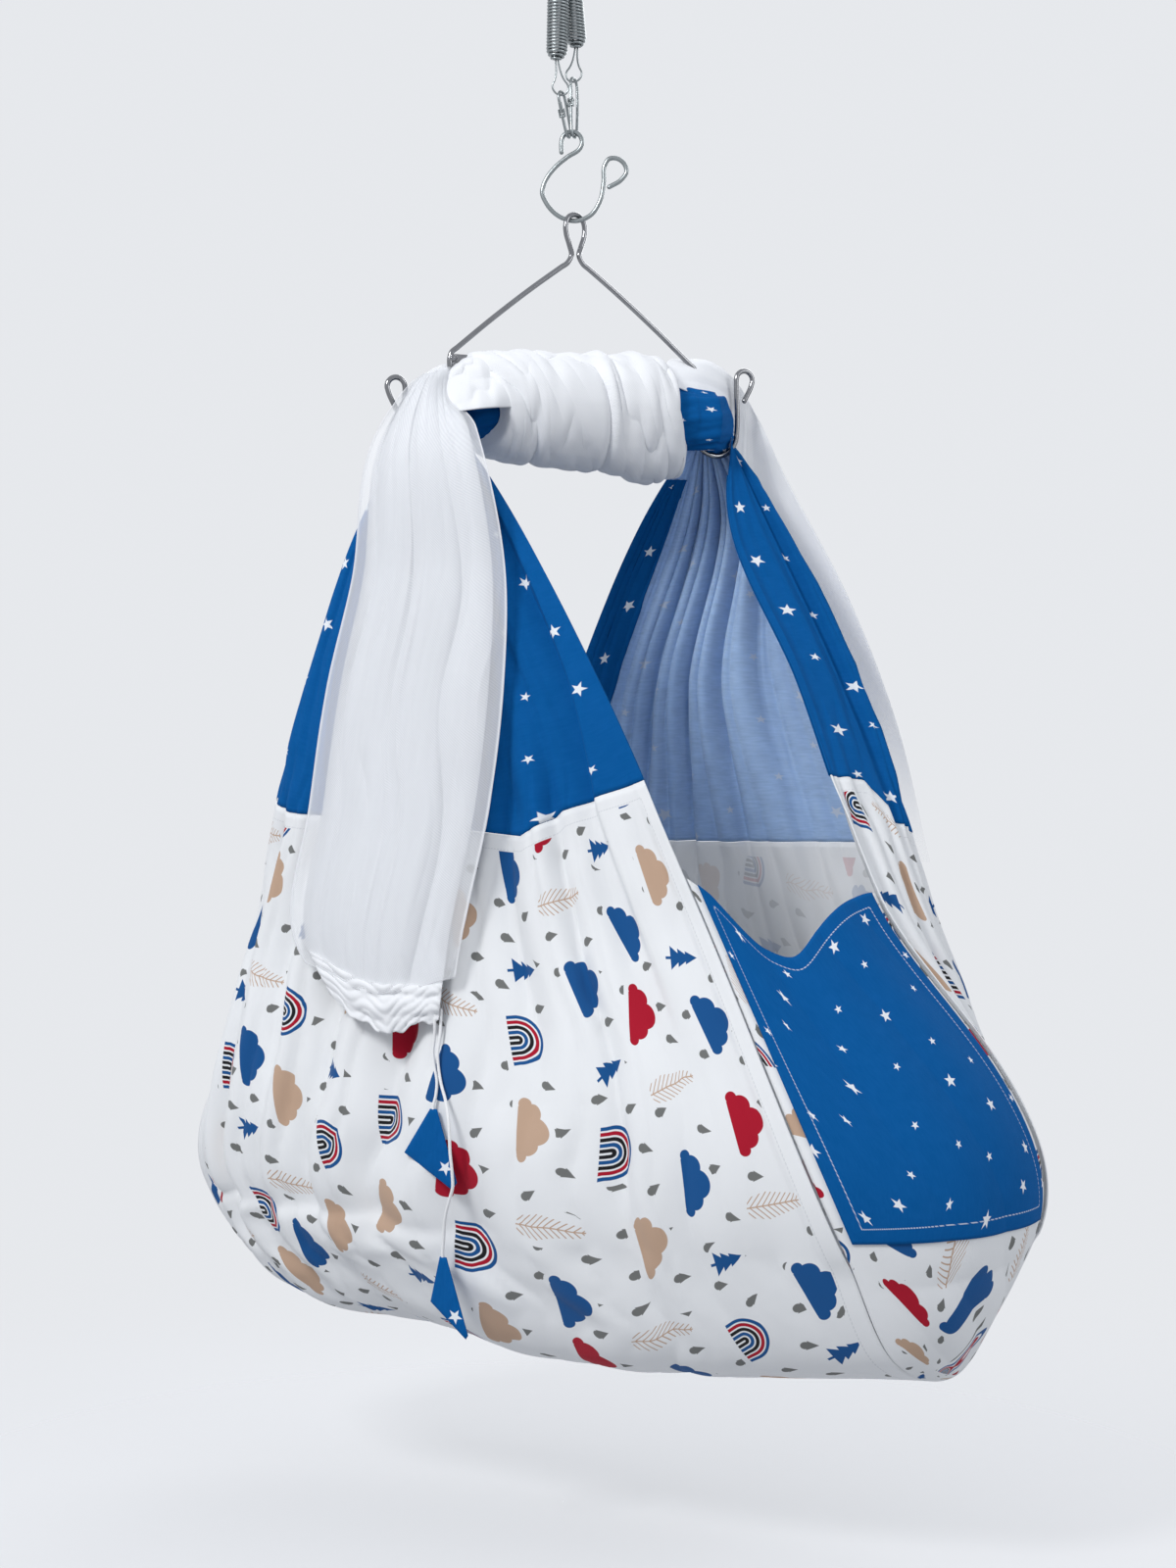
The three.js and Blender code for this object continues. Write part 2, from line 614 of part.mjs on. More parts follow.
function hangerPoints() {
  const neckHalf = ROD / 2 + CLEARANCE;
  const eye = (across, up) => hangAxis.clone().addScaledVector(eyeSide, across).setZ(up);
  const bendRadius = 2 * ROD;
  const half = (sign) => {
    const points = hookPoints(sign, sign < 0 ? LEFT_TIP_RISE : RIGHT_TIP_RISE).reverse();
    points.push(onHanger(sign * SHANK_DISTANCE, 0, barLevel - bendRadius));
    points.push(onHanger(sign * SHANK_DISTANCE, 0, barLevel));
    points.push(onHanger(sign * (SHANK_DISTANCE - ROD / 3), 0, barLevel + bendRadius / 2));
    points.push(onHanger(sign * (SHANK_DISTANCE - 1.5 * ROD), 0, barLevel + bendRadius));
    const neckFoot = eyeTop - NECK_DROP;
    points.push(onHanger(sign * (neckHalf + ROD), 0, neckFoot - ROD));
    points.push(onHanger(sign * (neckHalf + ROD / 5), 0, neckFoot + ROD / 2));
    return points;
  };
  const middle = [
    eye(-0.6 * EYE_HALF_WIDTH, eyeTop - 0.73 * NECK_DROP),
    eye(-0.93 * EYE_HALF_WIDTH, eyeTop - 0.48 * NECK_DROP),
    eye(-EYE_HALF_WIDTH, eyeTop - 0.3 * NECK_DROP),
    eye(-0.74 * EYE_HALF_WIDTH, eyeTop - 0.09 * NECK_DROP),
    eye(0, eyeTop),
    eye(0.74 * EYE_HALF_WIDTH, eyeTop - 0.09 * NECK_DROP),
    eye(EYE_HALF_WIDTH, eyeTop - 0.3 * NECK_DROP),
    eye(0.93 * EYE_HALF_WIDTH, eyeTop - 0.48 * NECK_DROP),
    eye(0.6 * EYE_HALF_WIDTH, eyeTop - 0.73 * NECK_DROP),
  ];
  return [...half(-1), ...middle, ...half(1).reverse()];
}

function hangerRod(margin) {
  return fatRod(smooth(hangerPoints(), 2), ROD, ROD_SIDE_COUNT, margin);
}

function crossbarShape(extra) {
  const length = 2 * (SHANK_DISTANCE - ROD / 2 - CLEARANCE) + 2 * extra;
  const box = new THREE.BoxGeometry(length, BAR_THICKNESS + 2 * extra, BAR_HEIGHT + 2 * extra);
  box.rotateZ(THREE.MathUtils.degToRad(HANGER_TURN_DEG));
  const middle = onHanger(0, 0, barLevel);
  let solid = solidOf(box.translate(middle.x, middle.y, middle.z));
  [-1, 1].forEach((sign) => {
    const bead = new THREE.SphereGeometry(WELD_RADIUS + extra, 10, 6);
    const centre = onHanger(sign * (SHANK_DISTANCE - ROD / 2), 0, barLevel);
    bead.translate(centre.x, centre.y, centre.z);
    solid = solid.add(solidOf(bead));
  });
  return geometryOf(solid);
}

function addCrossbar() {
  add('crossbar', clearOf(crossbarShape(0), [hangerRod(CLEARANCE)]), CHROME);
}

// Cloth sack: one surface down the left side, under the bottom and up the right side.
// Each row runs from the near end to the far end. Entries are shares of the half length,
// the half width and the height, and the right side is the left side turned half round

const GATHER_SHARES = [[0.27, 0.02], [0.19, -0.05], [0.09, -0.12], [-0.04, -0.14], [-0.15, -0.09]];
const BUNDLE_SHARES = [[0.79, -0.03], [0.38, -0.27], [-0.1, -0.35], [-0.4, -0.25], [-0.21, 0.12]];
const SACK_SHARES = [
  [[0.261, -0.698, 0.232], [0.084, -0.781, 0.232], [-0.126, -0.81, 0.232], [-0.446, -0.775, 0.232],
    [-0.404, -0.395, 0.232]],
  [[0.484, -0.693, 0.47], [0.19, -0.837, 0.47], [-0.194, -0.856, 0.47], [-0.6, -0.698, 0.47],
    [-0.589, -0.186, 0.47]],
  [[0.838, -0.772, 0.841], [0.43, -0.972, 0.841], [-0.26, -0.977, 0.841], [-0.68, -0.777, 0.841],
    [-0.89, -0.386, 0.841]],
  [[0.895, -0.52, 0.963], [0.43, -0.72, 0.98], [-0.2, -0.72, 0.978], [-0.59, -0.58, 0.948],
    [-0.848, -0.233, 0.912]],
  [[0.947, -0.093, 0.984], [0.4, 0, 1], [0.076, 0, 0.996], [-0.248, 0, 0.977], [-0.796, 0.093, 0.94]],
];
const CENTRE_SHARES = [0, 0, 0.023, 0.0436, 0.0758, 0.0758, 0.0758];

function sackRows() {
  const trough = onHanger(-hookCentre, 0, bundleTop);
  const gathered = (shares, level) => shares.map(([x, y]) => new THREE.Vector3(
    trough.x + x * BUNDLE_WIDTH,
    trough.y + y * BUNDLE_WIDTH,
    level,
  ));
  const rows = [gathered(GATHER_SHARES, bandCentre - BAND_RADIUS / 2), gathered(BUNDLE_SHARES, bundleTop)];
  SACK_SHARES.forEach((row) => {
    rows.push(row.map(([x, y, drop]) => new THREE.Vector3(
      hangAxis.x + x * SACK_HALF_LENGTH,
      hangAxis.y + y * SACK_HALF_WIDTH,
      bundleTop - drop * SACK_HEIGHT,
    )));
  });
  for (let j = rows.length - 2; j >= 0; j -= 1) {
    const middleX = hangAxis.x + CENTRE_SHARES[j] * SACK_HALF_LENGTH;
    rows.push(rows[j].map((point) => (
      new THREE.Vector3(2 * middleX - point.x, 2 * hangAxis.y - point.y, point.z)
    )).reverse());
  }
  return rows;
}

const rowsOfSack = sackRows();
const COLUMN_COUNT = 4;
const ROW_COUNT = 12;
const SEAM_SHARE = 0.2154;
const SEAM_GAP_SHARE = 0.0003;
const ACROSS_COUNT = 14;
const PANEL_COUNT = 8;
const LOOP_COUNT = 20;
const seamRow = SEAM_SHARE * ROW_COUNT;
const panelEndRow = (SEAM_SHARE - SEAM_GAP_SHARE) * ROW_COUNT;

function sackPoint(column, row) {
  return along(rowsOfSack.map((points) => along(points, column)), row);
}

const sack = surfaceOf(sackPoint);

// A stretch of the sack's surface between two columns and two rows
function stretch(firstColumn, lastColumn, firstRow, lastRow) {
  return (a, b) => sack(firstColumn + (lastColumn - firstColumn) * a, firstRow + (lastRow - firstRow) * b);
}

function addStarPanels() {
  const left = stretch(0, COLUMN_COUNT, 0, panelEndRow);
  const right = stretch(0, COLUMN_COUNT, ROW_COUNT - panelEndRow, ROW_COUNT);
  const hardware = [hangerRod(CUT_CLEARANCE), loft(bandRings(CUT_CLEARANCE), false)];
  const leftSheet = sheet(left, ACROSS_COUNT, PANEL_COUNT, 0, -CLOTH_THICKNESS);
  const rightSheet = sheet(right, ACROSS_COUNT, PANEL_COUNT, 0, -CLOTH_THICKNESS);
  add('left_star_panel', clearOf(leftSheet, hardware), STAR_CLOTH);
  add('right_star_panel', clearOf(rightSheet, hardware), STAR_CLOTH);
}

function printLoop(outer, inner, overrun) {
  const patch = stretch(-overrun, COLUMN_COUNT + overrun, seamRow, ROW_COUNT - seamRow);
  return sheet(patch, ACROSS_COUNT, LOOP_COUNT, outer, inner);
}

// Facings: wide strips inside the star panels along the slits, on the panels' own grid
const FACING_ACROSS_COUNT = 2;
const FACING_DOWN_COUNT = 6;

function addFacings() {
  const outer = -CLOTH_THICKNESS - CLEARANCE;
  const inner = outer - FACING_THICKNESS;
  const width = (COLUMN_COUNT * FACING_ACROSS_COUNT) / ACROSS_COUNT;
  const top = panelEndRow * (1 - FACING_DOWN_COUNT / PANEL_COUNT);
  const sides = { near: [0, width], far: [COLUMN_COUNT - width, COLUMN_COUNT] };
  Object.entries(sides).forEach(([end, [first, last]]) => {
    const strip = (patch) => sheet(patch, FACING_ACROSS_COUNT, FACING_DOWN_COUNT, outer, inner);
    const left = stretch(first, last, top, panelEndRow);
    const right = stretch(first, last, ROW_COUNT - panelEndRow, ROW_COUNT - top);
    add(`left_${end}_facing`, strip(left), STAR_CLOTH);
    add(`right_${end}_facing`, strip(right), STAR_CLOTH);
  });
}

// End panels: stretched between the two slit seams, bulging outward, with a dipped top edge
const NOTCH_SHARE = 0.25;
const END_BOTTOM_SHARE = 0.49;
const FULL_BULGE_SHARE = 0.45;
const BULGE_START_SHARE = 0.1;
const BULGE_END_SHARE = 1.05;
const OVERRUN_SHARE = 0.0025;
const END_ACROSS_COUNT = 6;
const END_DOWN_COUNT = 9;
const POCKET_DOWN_COUNT = 3;
const POCKET_MARGIN_SHARE = 0.05;

function endPanel(column, firstAcross, lastAcross, lastDown) {
  const point = (a, b) => {
    const across = firstAcross + (lastAcross - firstAcross) * a;
    const down = lastDown * b;
    const dip = (END_NOTCH_DEPTH / SACK_HEIGHT) * Math.sin(Math.PI * Math.min(Math.max(across, 0), 1));
    const row = ROW_COUNT * (NOTCH_SHARE + (END_BOTTOM_SHARE - NOTCH_SHARE) * (down + dip * (1 - down)));
    const left = sackPoint(column, row);
    const right = sackPoint(column, ROW_COUNT - row);
    const from = column === 0 ? right : left;
    const chord = (column === 0 ? left : right).sub(from);
    const out = new THREE.Vector3(-chord.y, chord.x, 0).normalize();
    const opening = (down + BULGE_START_SHARE) / FULL_BULGE_SHARE;
    const round = Math.sin((Math.PI / 2) * Math.min(opening, 2 * (BULGE_END_SHARE - down)));
    const bulge = END_BULGE_SHARE * chord.length() * 4 * across * (1 - across) * round;
    return from.clone().addScaledVector(chord, across).addScaledVector(out, bulge);
  };
  return surfaceOf(point);
}

function addEndPanels() {
  const fat = printLoop(EYE_CLEARANCE, -CLOTH_THICKNESS - EYE_CLEARANCE, OVERRUN_SHARE * COLUMN_COUNT);
  const whole = (column, outer) => (
    sheet(endPanel(column, 0, 1, 1), END_ACROSS_COUNT, END_DOWN_COUNT, outer, outer - CLOTH_THICKNESS)
  );
  add('near_end_panel', clearOf(whole(0, 0), [fat]), PRINT_CLOTH);
  add('far_end_panel', clearOf(whole(COLUMN_COUNT, 0), [fat]), PRINT_CLOTH);
  const depth = POCKET_DOWN_COUNT / END_DOWN_COUNT;
  const patch = endPanel(0, POCKET_MARGIN_SHARE, 1 - POCKET_MARGIN_SHARE, depth);
  const pocket = sheet(patch, END_ACROSS_COUNT, POCKET_DOWN_COUNT, CLEARANCE + POCKET_THICKNESS, CLEARANCE);
  add('near_pocket', clearOf(pocket, [fat, whole(0, CLEARANCE)]), STAR_CLOTH);
}

// Mattress: follows the inside of the bottom, and its top rises evenly towards the head at the far end

const MATTRESS_SIDE_COUNT = 7;
const MATTRESS_NEAR_COUNT = 2;
const MATTRESS_FAR_COUNT = 1;
const RIM_SHARE = 0.17;
const RIM_LEAST_SHARE = 0.12;
const RIM_POWER = 6;

function addMattress() {
  const lowest = bundleTop - SACK_HEIGHT;
  const top = lowest + CLOTH_THICKNESS + MATTRESS_THICKNESS;
  const columnStep = COLUMN_COUNT / ACROSS_COUNT;
  const edgeRow = seamRow + (MATTRESS_SIDE_COUNT * (ROW_COUNT - 2 * seamRow)) / LOOP_COUNT;
  const first = MATTRESS_NEAR_COUNT * columnStep;
  const last = COLUMN_COUNT - MATTRESS_FAR_COUNT * columnStep;
  const surface = stretch(first, last, edgeRow, ROW_COUNT - edgeRow);
  const rim = (a, b) => (1 - (2 * a - 1) ** RIM_POWER) * (1 - (2 * b - 1) ** RIM_POWER);
  const layers = (a, b) => {
    const { point, normal } = surface(a, b);
    point.addScaledVector(normal, -CLOTH_THICKNESS - 2 * CLEARANCE);
    const headRise = MATTRESS_HEAD_RISE * (a - 1 / 2);
    const edgeTop = top + headRise - (1 - rim(a, b)) * RIM_SHARE * MATTRESS_THICKNESS;
    const upper = Math.max(edgeTop, point.z + RIM_LEAST_SHARE * MATTRESS_THICKNESS);
    return { point, normal: new THREE.Vector3(0, 0, upper - point.z) };
  };
  const across = ACROSS_COUNT - MATTRESS_NEAR_COUNT - MATTRESS_FAR_COUNT;
  add('mattress', sheet(layers, across, LOOP_COUNT - 2 * MATTRESS_SIDE_COUNT, 1, 0), PAD);
}

// Top band: the gathered cloth, with level sections along the bar. It passes behind the left
// shank and in front of the right one, and through both J-hooks.
// Each entry: distance along the bar as a share of the hook's centre distance, then the middle's
// place across the bar, the half depth and the half height, as shares of the band's radius
const BAND_SHARES = [
  [0, 0, 1, 1], [0.5, 0.05, 1, 1], [0.7, 0.25, 0.95, 0.98], [0.8, 0.6, 0.62, 0.93],
  [0.875, 0.72, 0.58, 0.9], [0.93, 0.3, 0.75, 0.85], [1, -0.12, 0.85, 0.82], [1.07, -0.45, 0.8, 0.8],
  [1.105, -0.55, 0.6, 0.6],
];
const BAND_AROUND_COUNT = 14;

function bandRings(extra) {
  const left = [...BAND_SHARES].reverse().map(([distance, ...rest]) => [-distance, ...rest]);
  const right = BAND_SHARES.slice(1).map(([distance, back, ...rest]) => [distance, -back, ...rest]);
  return [...left, ...right].map(([place, back, depth, height], index, all) => {
    const ring = [];
    const end = index === 0 || index === all.length - 1 ? Math.sign(place) * extra : 0;
    const bottom = troughLevel + ROD / 2 + CLEARANCE + height * BAND_RADIUS;
    const middle = Math.max(bottom, bandCentre - (1 - height) * BAND_RADIUS);
    for (let i = 0; i < BAND_AROUND_COUNT; i += 1) {
      const angle = (2 * Math.PI * i) / BAND_AROUND_COUNT;
      const across = back * BAND_RADIUS + (depth * BAND_RADIUS + extra) * Math.cos(angle);
      const rise = (height * BAND_RADIUS + extra) * Math.sin(angle);
      ring.push(onHanger(place * hookCentre + end, across, middle + rise));
    }
    return ring;
  });
}

// Net wound round the band: a hollow roll with shallow slanting folds
const WRAP_SECTION_COUNT = 12;
const WRAP_AROUND_COUNT = 18;
const WRAP_TAPER_SHARE = 0.1;
const WRAP_FOLD_SHARE = 0.03;
const WRAP_FOLD_COUNT = 3;
const WRAP_HALF_TURN_COUNT = 7;

function wrapRings(extra) {
  const rings = [];
  for (let i = 0; i <= WRAP_SECTION_COUNT; i += 1) {
    const share = i / WRAP_SECTION_COUNT;
    const distance = (2 * share - 1) * (WRAP_HALF_LENGTH + extra);
    const swell = 1 - WRAP_TAPER_SHARE * (2 * share - 1) ** 4;
    const ring = [];
    for (let j = 0; j < WRAP_AROUND_COUNT; j += 1) {
      const angle = (2 * Math.PI * j) / WRAP_AROUND_COUNT;
      const turn = WRAP_FOLD_COUNT * angle + WRAP_HALF_TURN_COUNT * share * Math.PI;
      const fold = 1 + WRAP_FOLD_SHARE * Math.sin(turn);
      const back = (WRAP_HALF_DEPTH + extra) * swell * fold * Math.cos(angle);
      const height = (WRAP_HALF_HEIGHT * (1 + WRAP_SAG_SHARE * (2 * share - 1)) + extra) * swell * fold;
      ring.push(onHanger(distance, back, wrapCentre + height * Math.sin(angle)));
    }
    rings.push(ring);
  }
  return rings;
}

// Net falls: sheets given by rows of three points, from the left edge to the right one, with
// soft folds. Each point: across, away from the front and below the bar's level, from the
// hanger's axis, as shares of the wrap's half length
const TAIL_SHARES = [
  [[-1.19, -0.51, 0.11], [-1.08, -0.43, 0.05], [-0.92, -0.38, 0.02]],
  [[-1.35, -0.7, 0.27], [-1.17, -0.74, 0.22], [-0.98, -0.6, 0.18]],
  [[-1.62, -0.62, 0.66], [-1.2, -1.1, 0.66], [-0.78, -1.14, 0.66]],
  [[-1.82, -0.58, 1.85], [-1.2, -1.13, 1.85], [-0.54, -1.34, 1.85]],
  [[-2.02, -0.51, 2.67], [-1.3, -1.11, 2.67], [-0.55, -1.45, 2.67]],
  [[-2.17, -0.49, 3.65], [-1.4, -1.12, 3.65], [-0.66, -1.49, 3.65]],
  [[-2.3, -0.5, 4.75], [-1.58, -1.15, 4.85], [-0.88, -1.47, 4.7]],
  [[-2.06, -0.72, 5.14], [-1.52, -1.2, 5.46], [-0.98, -1.5, 5.31]],
];
const BACK_SHARES = [
  [[0.7, 0.47, 0.02], [0.82, 0.6, -0.13], [0.93, 0.7, -0.17]],
  [[1.05, 0.58, 0.14], [1.17, 0.72, 0.0], [1.3, 0.79, -0.04]],
  [[1.22, 0.72, 0.28], [1.38, 0.8, 0.2], [1.53, 0.79, 0.23]],
  [[1.25, 0.87, 0.79], [1.52, 0.93, 0.83], [1.82, 0.75, 0.87]],
  [[1.3, 1.13, 1.9], [1.8, 1.06, 1.9], [2.34, 0.6, 1.9]],
  [[1.45, 1.3, 2.97], [2.05, 1.1, 2.97], [2.74, 0.5, 2.97]],
  [[1.65, 1.45, 4.16], [2.35, 1.2, 4.16], [3.02, 0.45, 4.16]],
];

const TAIL_ACROSS_COUNT = 18;
const TAIL_DOWN_COUNT = 12;
const BACK_ACROSS_COUNT = 8;
const BACK_DOWN_COUNT = 10;

function netFall(shares, folds, depth) {
  const rows = shares.map((row) => row.map(([across, back, down]) => beside(
    LINE_LEAN + across * WRAP_HALF_LENGTH,
    back * WRAP_HALF_LENGTH,
    barLevel - down * WRAP_HALF_LENGTH,
  )));
  const point = (a, b) => {
    const place = along(rows.map((points) => along(points, 2 * a)), b * (rows.length - 1));
    const fold = depth * Math.min(Math.max(4 * b, 0), 1) * Math.sin(2 * Math.PI * folds * a + 2 * b);
    return place.addScaledVector(away, fold);
  };
  return surfaceOf(point);
}

function addTopCloth() {
  const hanger = hangerRod(CUT_CLEARANCE);
  const crossbar = crossbarShape(CUT_CLEARANCE);
  const band = loft(bandRings(CUT_CLEARANCE), false);
  const wrap = loft(wrapRings(CUT_CLEARANCE), false);
  const leftCloth = stretch(0, COLUMN_COUNT, 0, seamRow);
  const panel = sheet(leftCloth, ACROSS_COUNT, PANEL_COUNT, CUT_CLEARANCE, -CLOTH_THICKNESS);
  const loop = printLoop(CUT_CLEARANCE, -CLOTH_THICKNESS, 0);
  const paths = [SHORT_STRING_SHARES, LONG_STRING_SHARES];
  const strings = paths.map((points) => stringRod(points, SEAT_CLEARANCE));
  add('top_band', clearOf(loft(bandRings(0), false), [hanger]), STAR_CLOTH);
  add('net_wrap', clearOf(loft(wrapRings(0), false), [band, hanger, crossbar]), NET);
  const half = NET_THICKNESS / 2;
  const tail = sheet(netFall(TAIL_SHARES, 3, 3 * half), TAIL_ACROSS_COUNT, TAIL_DOWN_COUNT, half, -half);
  add('net_tail', clearOf(tail, [wrap, band, hanger, crossbar, panel, loop, ...strings]), NET);
  const back = sheet(netFall(BACK_SHARES, 2, 2 * half), BACK_ACROSS_COUNT, BACK_DOWN_COUNT, half, -half);
  add('net_back_fall', clearOf(back, [wrap, band, hanger, crossbar]), NET);
}

// Drawstring ends, points chosen by hand: across, away and up from the hanger's axis and bar level,
// as shares of the strings' span
const STRING_SPAN = 1000;
const SHORT_STRING_SHARES = [
  [-0.1335, -0.1755, -0.645], [-0.134, -0.1755, -0.655], [-0.134, -0.174, -0.663], [-0.1345, -0.173, -0.671],
  [-0.1358, -0.173, -0.684], [-0.134, -0.176, -0.698], [-0.1316, -0.18, -0.71], [-0.1325, -0.183, -0.724],
  [-0.135, -0.184, -0.736],
];
const LONG_STRING_SHARES = [
  [-0.128, -0.1745, -0.643], [-0.1282, -0.175, -0.654], [-0.1285, -0.176, -0.663], [-0.1295, -0.177, -0.672],
  [-0.131, -0.178, -0.684], [-0.13, -0.18, -0.698], [-0.1275, -0.185, -0.712], [-0.123, -0.192, -0.727],
  [-0.12, -0.2, -0.742], [-0.1186, -0.204, -0.758], [-0.1178, -0.205, -0.776], [-0.116, -0.205, -0.794],
  [-0.1156, -0.203, -0.81], [-0.119, -0.199, -0.822], [-0.122, -0.194, -0.834], [-0.124, -0.189, -0.846],
  [-0.125, -0.184, -0.862], [-0.126, -0.181, -0.878],
];

function stringPath(points) {
  return points.map(([across, back, up]) => (
    beside(across * STRING_SPAN + LINE_LEAN, back * STRING_SPAN, up * STRING_SPAN + barLevel)
  ));
}

function stringRod(points, margin) {
  return fatRod(stringPath(points), STRING_DIAMETER, WIRE_SIDE_COUNT, margin);
}

// Tassel: a folded cloth triangle below the end of its string.
// Corners: across and down from the string's end, as shares of the tassel's height
const TASSEL_HEIGHT = 76;
const TASSEL_SLANT_SHARE = -0.68;
const TASSEL_SHARES = [
  [[-0.04, 0], [0.05, 0], [0.31, 0.9], [0.25, 1], [-0.38, 0.58]],
  [[-0.04, 0], [0.05, 0], [0.33, 0.95], [0.3, 1.0], [-0.16, 0.58]],
];

function addTassel(name, string, shares) {
  const end = stringPath(string).at(-1);
  const corner = ([across, down], offset) => end.clone()
    .addScaledVector(side, across * TASSEL_HEIGHT)
    .addScaledVector(away, across * TASSEL_HEIGHT * TASSEL_SLANT_SHARE + offset)
    .add(new THREE.Vector3(0, 0, -down * TASSEL_HEIGHT - SEAT_CLEARANCE));
  const faces = [-TASSEL_THICKNESS / 2, TASSEL_THICKNESS / 2];
  const rings = faces.map((offset) => shares.map((share) => corner(share, offset)));
  add(name, loft(rings, false), STAR_CLOTH);
}

addHangLink();
Object.entries(springs).forEach(([name, ends]) => {
  addSpring(`${name}_spring`, ends);
  addEyelet(`${name}_spring_top_loop`, ends.top, ends.top.clone().setZ(topEyelet));
  addEyelet(`${name}_spring_bottom_loop`, ends.bottom, ends.ring);
});
addSnapHook(
  'left_snap_hook',
  'left_snap_gate',
  springs.left.ring.clone().setZ(leftSnapTop),
  beside(sLoopAcross - snapOffset, SNAP_SETTLE, snapBottom),
);
addSnapHook(
  'right_snap_hook',
  'right_snap_gate',
  springs.right.ring.clone().setZ(rightSnapTop),
  beside(sLoopAcross + snapOffset, -SNAP_SETTLE, snapBottom),
);
addSHook();
add('hanger_rod', hangerRod(0), CHROME);
addCrossbar();
addTopCloth();
addStarPanels();
add('print_loop', printLoop(0, -CLOTH_THICKNESS, 0), PRINT_CLOTH);
addFacings();
addEndPanels();
addMattress();
add('short_drawstring', stringRod(SHORT_STRING_SHARES, 0), NET);
add('long_drawstring', stringRod(LONG_STRING_SHARES, 0), NET);
addTassel('short_tassel', SHORT_STRING_SHARES, TASSEL_SHARES[0]);
addTassel('long_tassel', LONG_STRING_SHARES, TASSEL_SHARES[1]);

export default root;
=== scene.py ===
import math

import bpy
import numpy as np
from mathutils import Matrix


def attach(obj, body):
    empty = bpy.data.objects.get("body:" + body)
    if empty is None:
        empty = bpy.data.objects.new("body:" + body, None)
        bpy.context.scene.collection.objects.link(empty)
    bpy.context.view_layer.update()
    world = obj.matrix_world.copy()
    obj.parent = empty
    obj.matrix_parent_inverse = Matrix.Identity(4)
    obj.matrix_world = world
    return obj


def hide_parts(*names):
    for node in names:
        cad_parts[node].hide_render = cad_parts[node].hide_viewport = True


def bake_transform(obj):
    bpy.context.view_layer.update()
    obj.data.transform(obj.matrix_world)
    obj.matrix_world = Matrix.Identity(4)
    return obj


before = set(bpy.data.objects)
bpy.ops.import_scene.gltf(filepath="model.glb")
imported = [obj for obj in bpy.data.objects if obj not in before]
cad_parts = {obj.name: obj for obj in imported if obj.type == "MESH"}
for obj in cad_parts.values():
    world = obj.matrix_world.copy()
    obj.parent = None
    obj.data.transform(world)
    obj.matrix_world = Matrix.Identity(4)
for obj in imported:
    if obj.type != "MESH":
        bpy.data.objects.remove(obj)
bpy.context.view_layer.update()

bl_info = {
    "name": "Hanging baby cradle",
    "version": (1, 0, 0),
    "blender": (4, 5, 0),
    "location": "View3D > Sidebar > Cradle",
    "description": "Dresses the hanging cradle: springs, hooks, hanger, cloth, net, strings and studio",
    "category": "Object",
}

# Directions


def direction(degrees):
    """The level unit vector at that angle from +X."""
    angle = math.radians(degrees)
    return np.array([math.cos(angle), math.sin(angle), 0.0])


SIDE = direction(33)
AWAY = direction(123)
BAR = direction(58)
BAR_NORMAL = direction(148)
EYE_SIDE = direction(75)
LINK_RUN = direction(101)
LINK_NORMAL = direction(11)
UP = np.array([0.0, 0.0, 1.0])
LINE_LEAN = 0.012
HANG_AXIS = SIDE * LINE_LEAN

# Sizes shared with the solids, in metres

LINK_WIRE = 0.006
LINK_HALF_WIDTH = 0.024
LINK_INNER_HEIGHT = 0.04
LINK_CORNER = 0.009
COIL_RADIUS = 0.0096
COIL_PITCH = 0.0033
COIL_TURNS = 30
COIL_TAPER_TURNS = 3
COIL_MOUTH = 0.0042
SPRING_SPACING = 0.025
EYELET_WIRE = 0.002
EYELET_RADIUS = 0.008
EYELET_REACH = 0.028
SNAP_WIRE = 0.0036
SNAP_TOP_RADIUS = 0.0075
SNAP_BOTTOM_RADIUS = 0.0062
RIGHT_SNAP_LENGTH = 0.062
S_HOOK_WIRE = 0.0048
S_HOOK_LOOP = 0.0105
S_HOOK_DROP = 0.0805
ROD = 0.0055
EYE_HALF_WIDTH = 0.013
NECK_DROP = 0.044
BAR_DROP = 0.1545
SHANK = 0.138
HOOK_WIDTH = 0.048
TROUGH_DROP = 0.084
BAND_RADIUS = 0.033
WRAP_HALF_LENGTH = 0.122
WRAP_HALF_HEIGHT = 0.056
WRAP_HALF_DEPTH = 0.047
SACK_HALF_LENGTH = 0.475
SACK_HALF_WIDTH = 0.215
SACK_HEIGHT = 0.862
BUNDLE_WIDTH = 0.1
MATTRESS_THICKNESS = 0.062
MATTRESS_HEAD_RISE = 0.06
TASSEL_HEIGHT = 0.076
FIT = 0.00035
FACING = 0.0009
SEAM_GAP = 0.003

LINK_BOTTOM = -(LINK_INNER_HEIGHT + LINK_WIRE / 2)
TOP_EYELET = LINK_BOTTOM + LINK_WIRE / 2 + FIT - (EYELET_RADIUS - EYELET_WIRE / 2)
COIL_LENGTH = COIL_PITCH * COIL_TURNS
RIGHT_COIL_TOP = TOP_EYELET - EYELET_REACH
LEFT_COIL_TOP = RIGHT_COIL_TOP - 0.018
RIGHT_EYELET = RIGHT_COIL_TOP - COIL_LENGTH - EYELET_REACH
LEFT_EYELET = LEFT_COIL_TOP - COIL_LENGTH - EYELET_REACH
SNAP_SEAT = EYELET_RADIUS - EYELET_WIRE / 2 - 0.00075 - SNAP_WIRE / 2
RIGHT_SNAP_TOP = RIGHT_EYELET - SNAP_SEAT
LEFT_SNAP_TOP = LEFT_EYELET - SNAP_SEAT
SNAP_BOTTOM = RIGHT_SNAP_TOP - RIGHT_SNAP_LENGTH
SNAP_OFFSET = 0.00215 / math.sin(math.radians(65))
S_CENTRE = SNAP_BOTTOM - math.sqrt(0.0056**2 - SNAP_OFFSET**2)
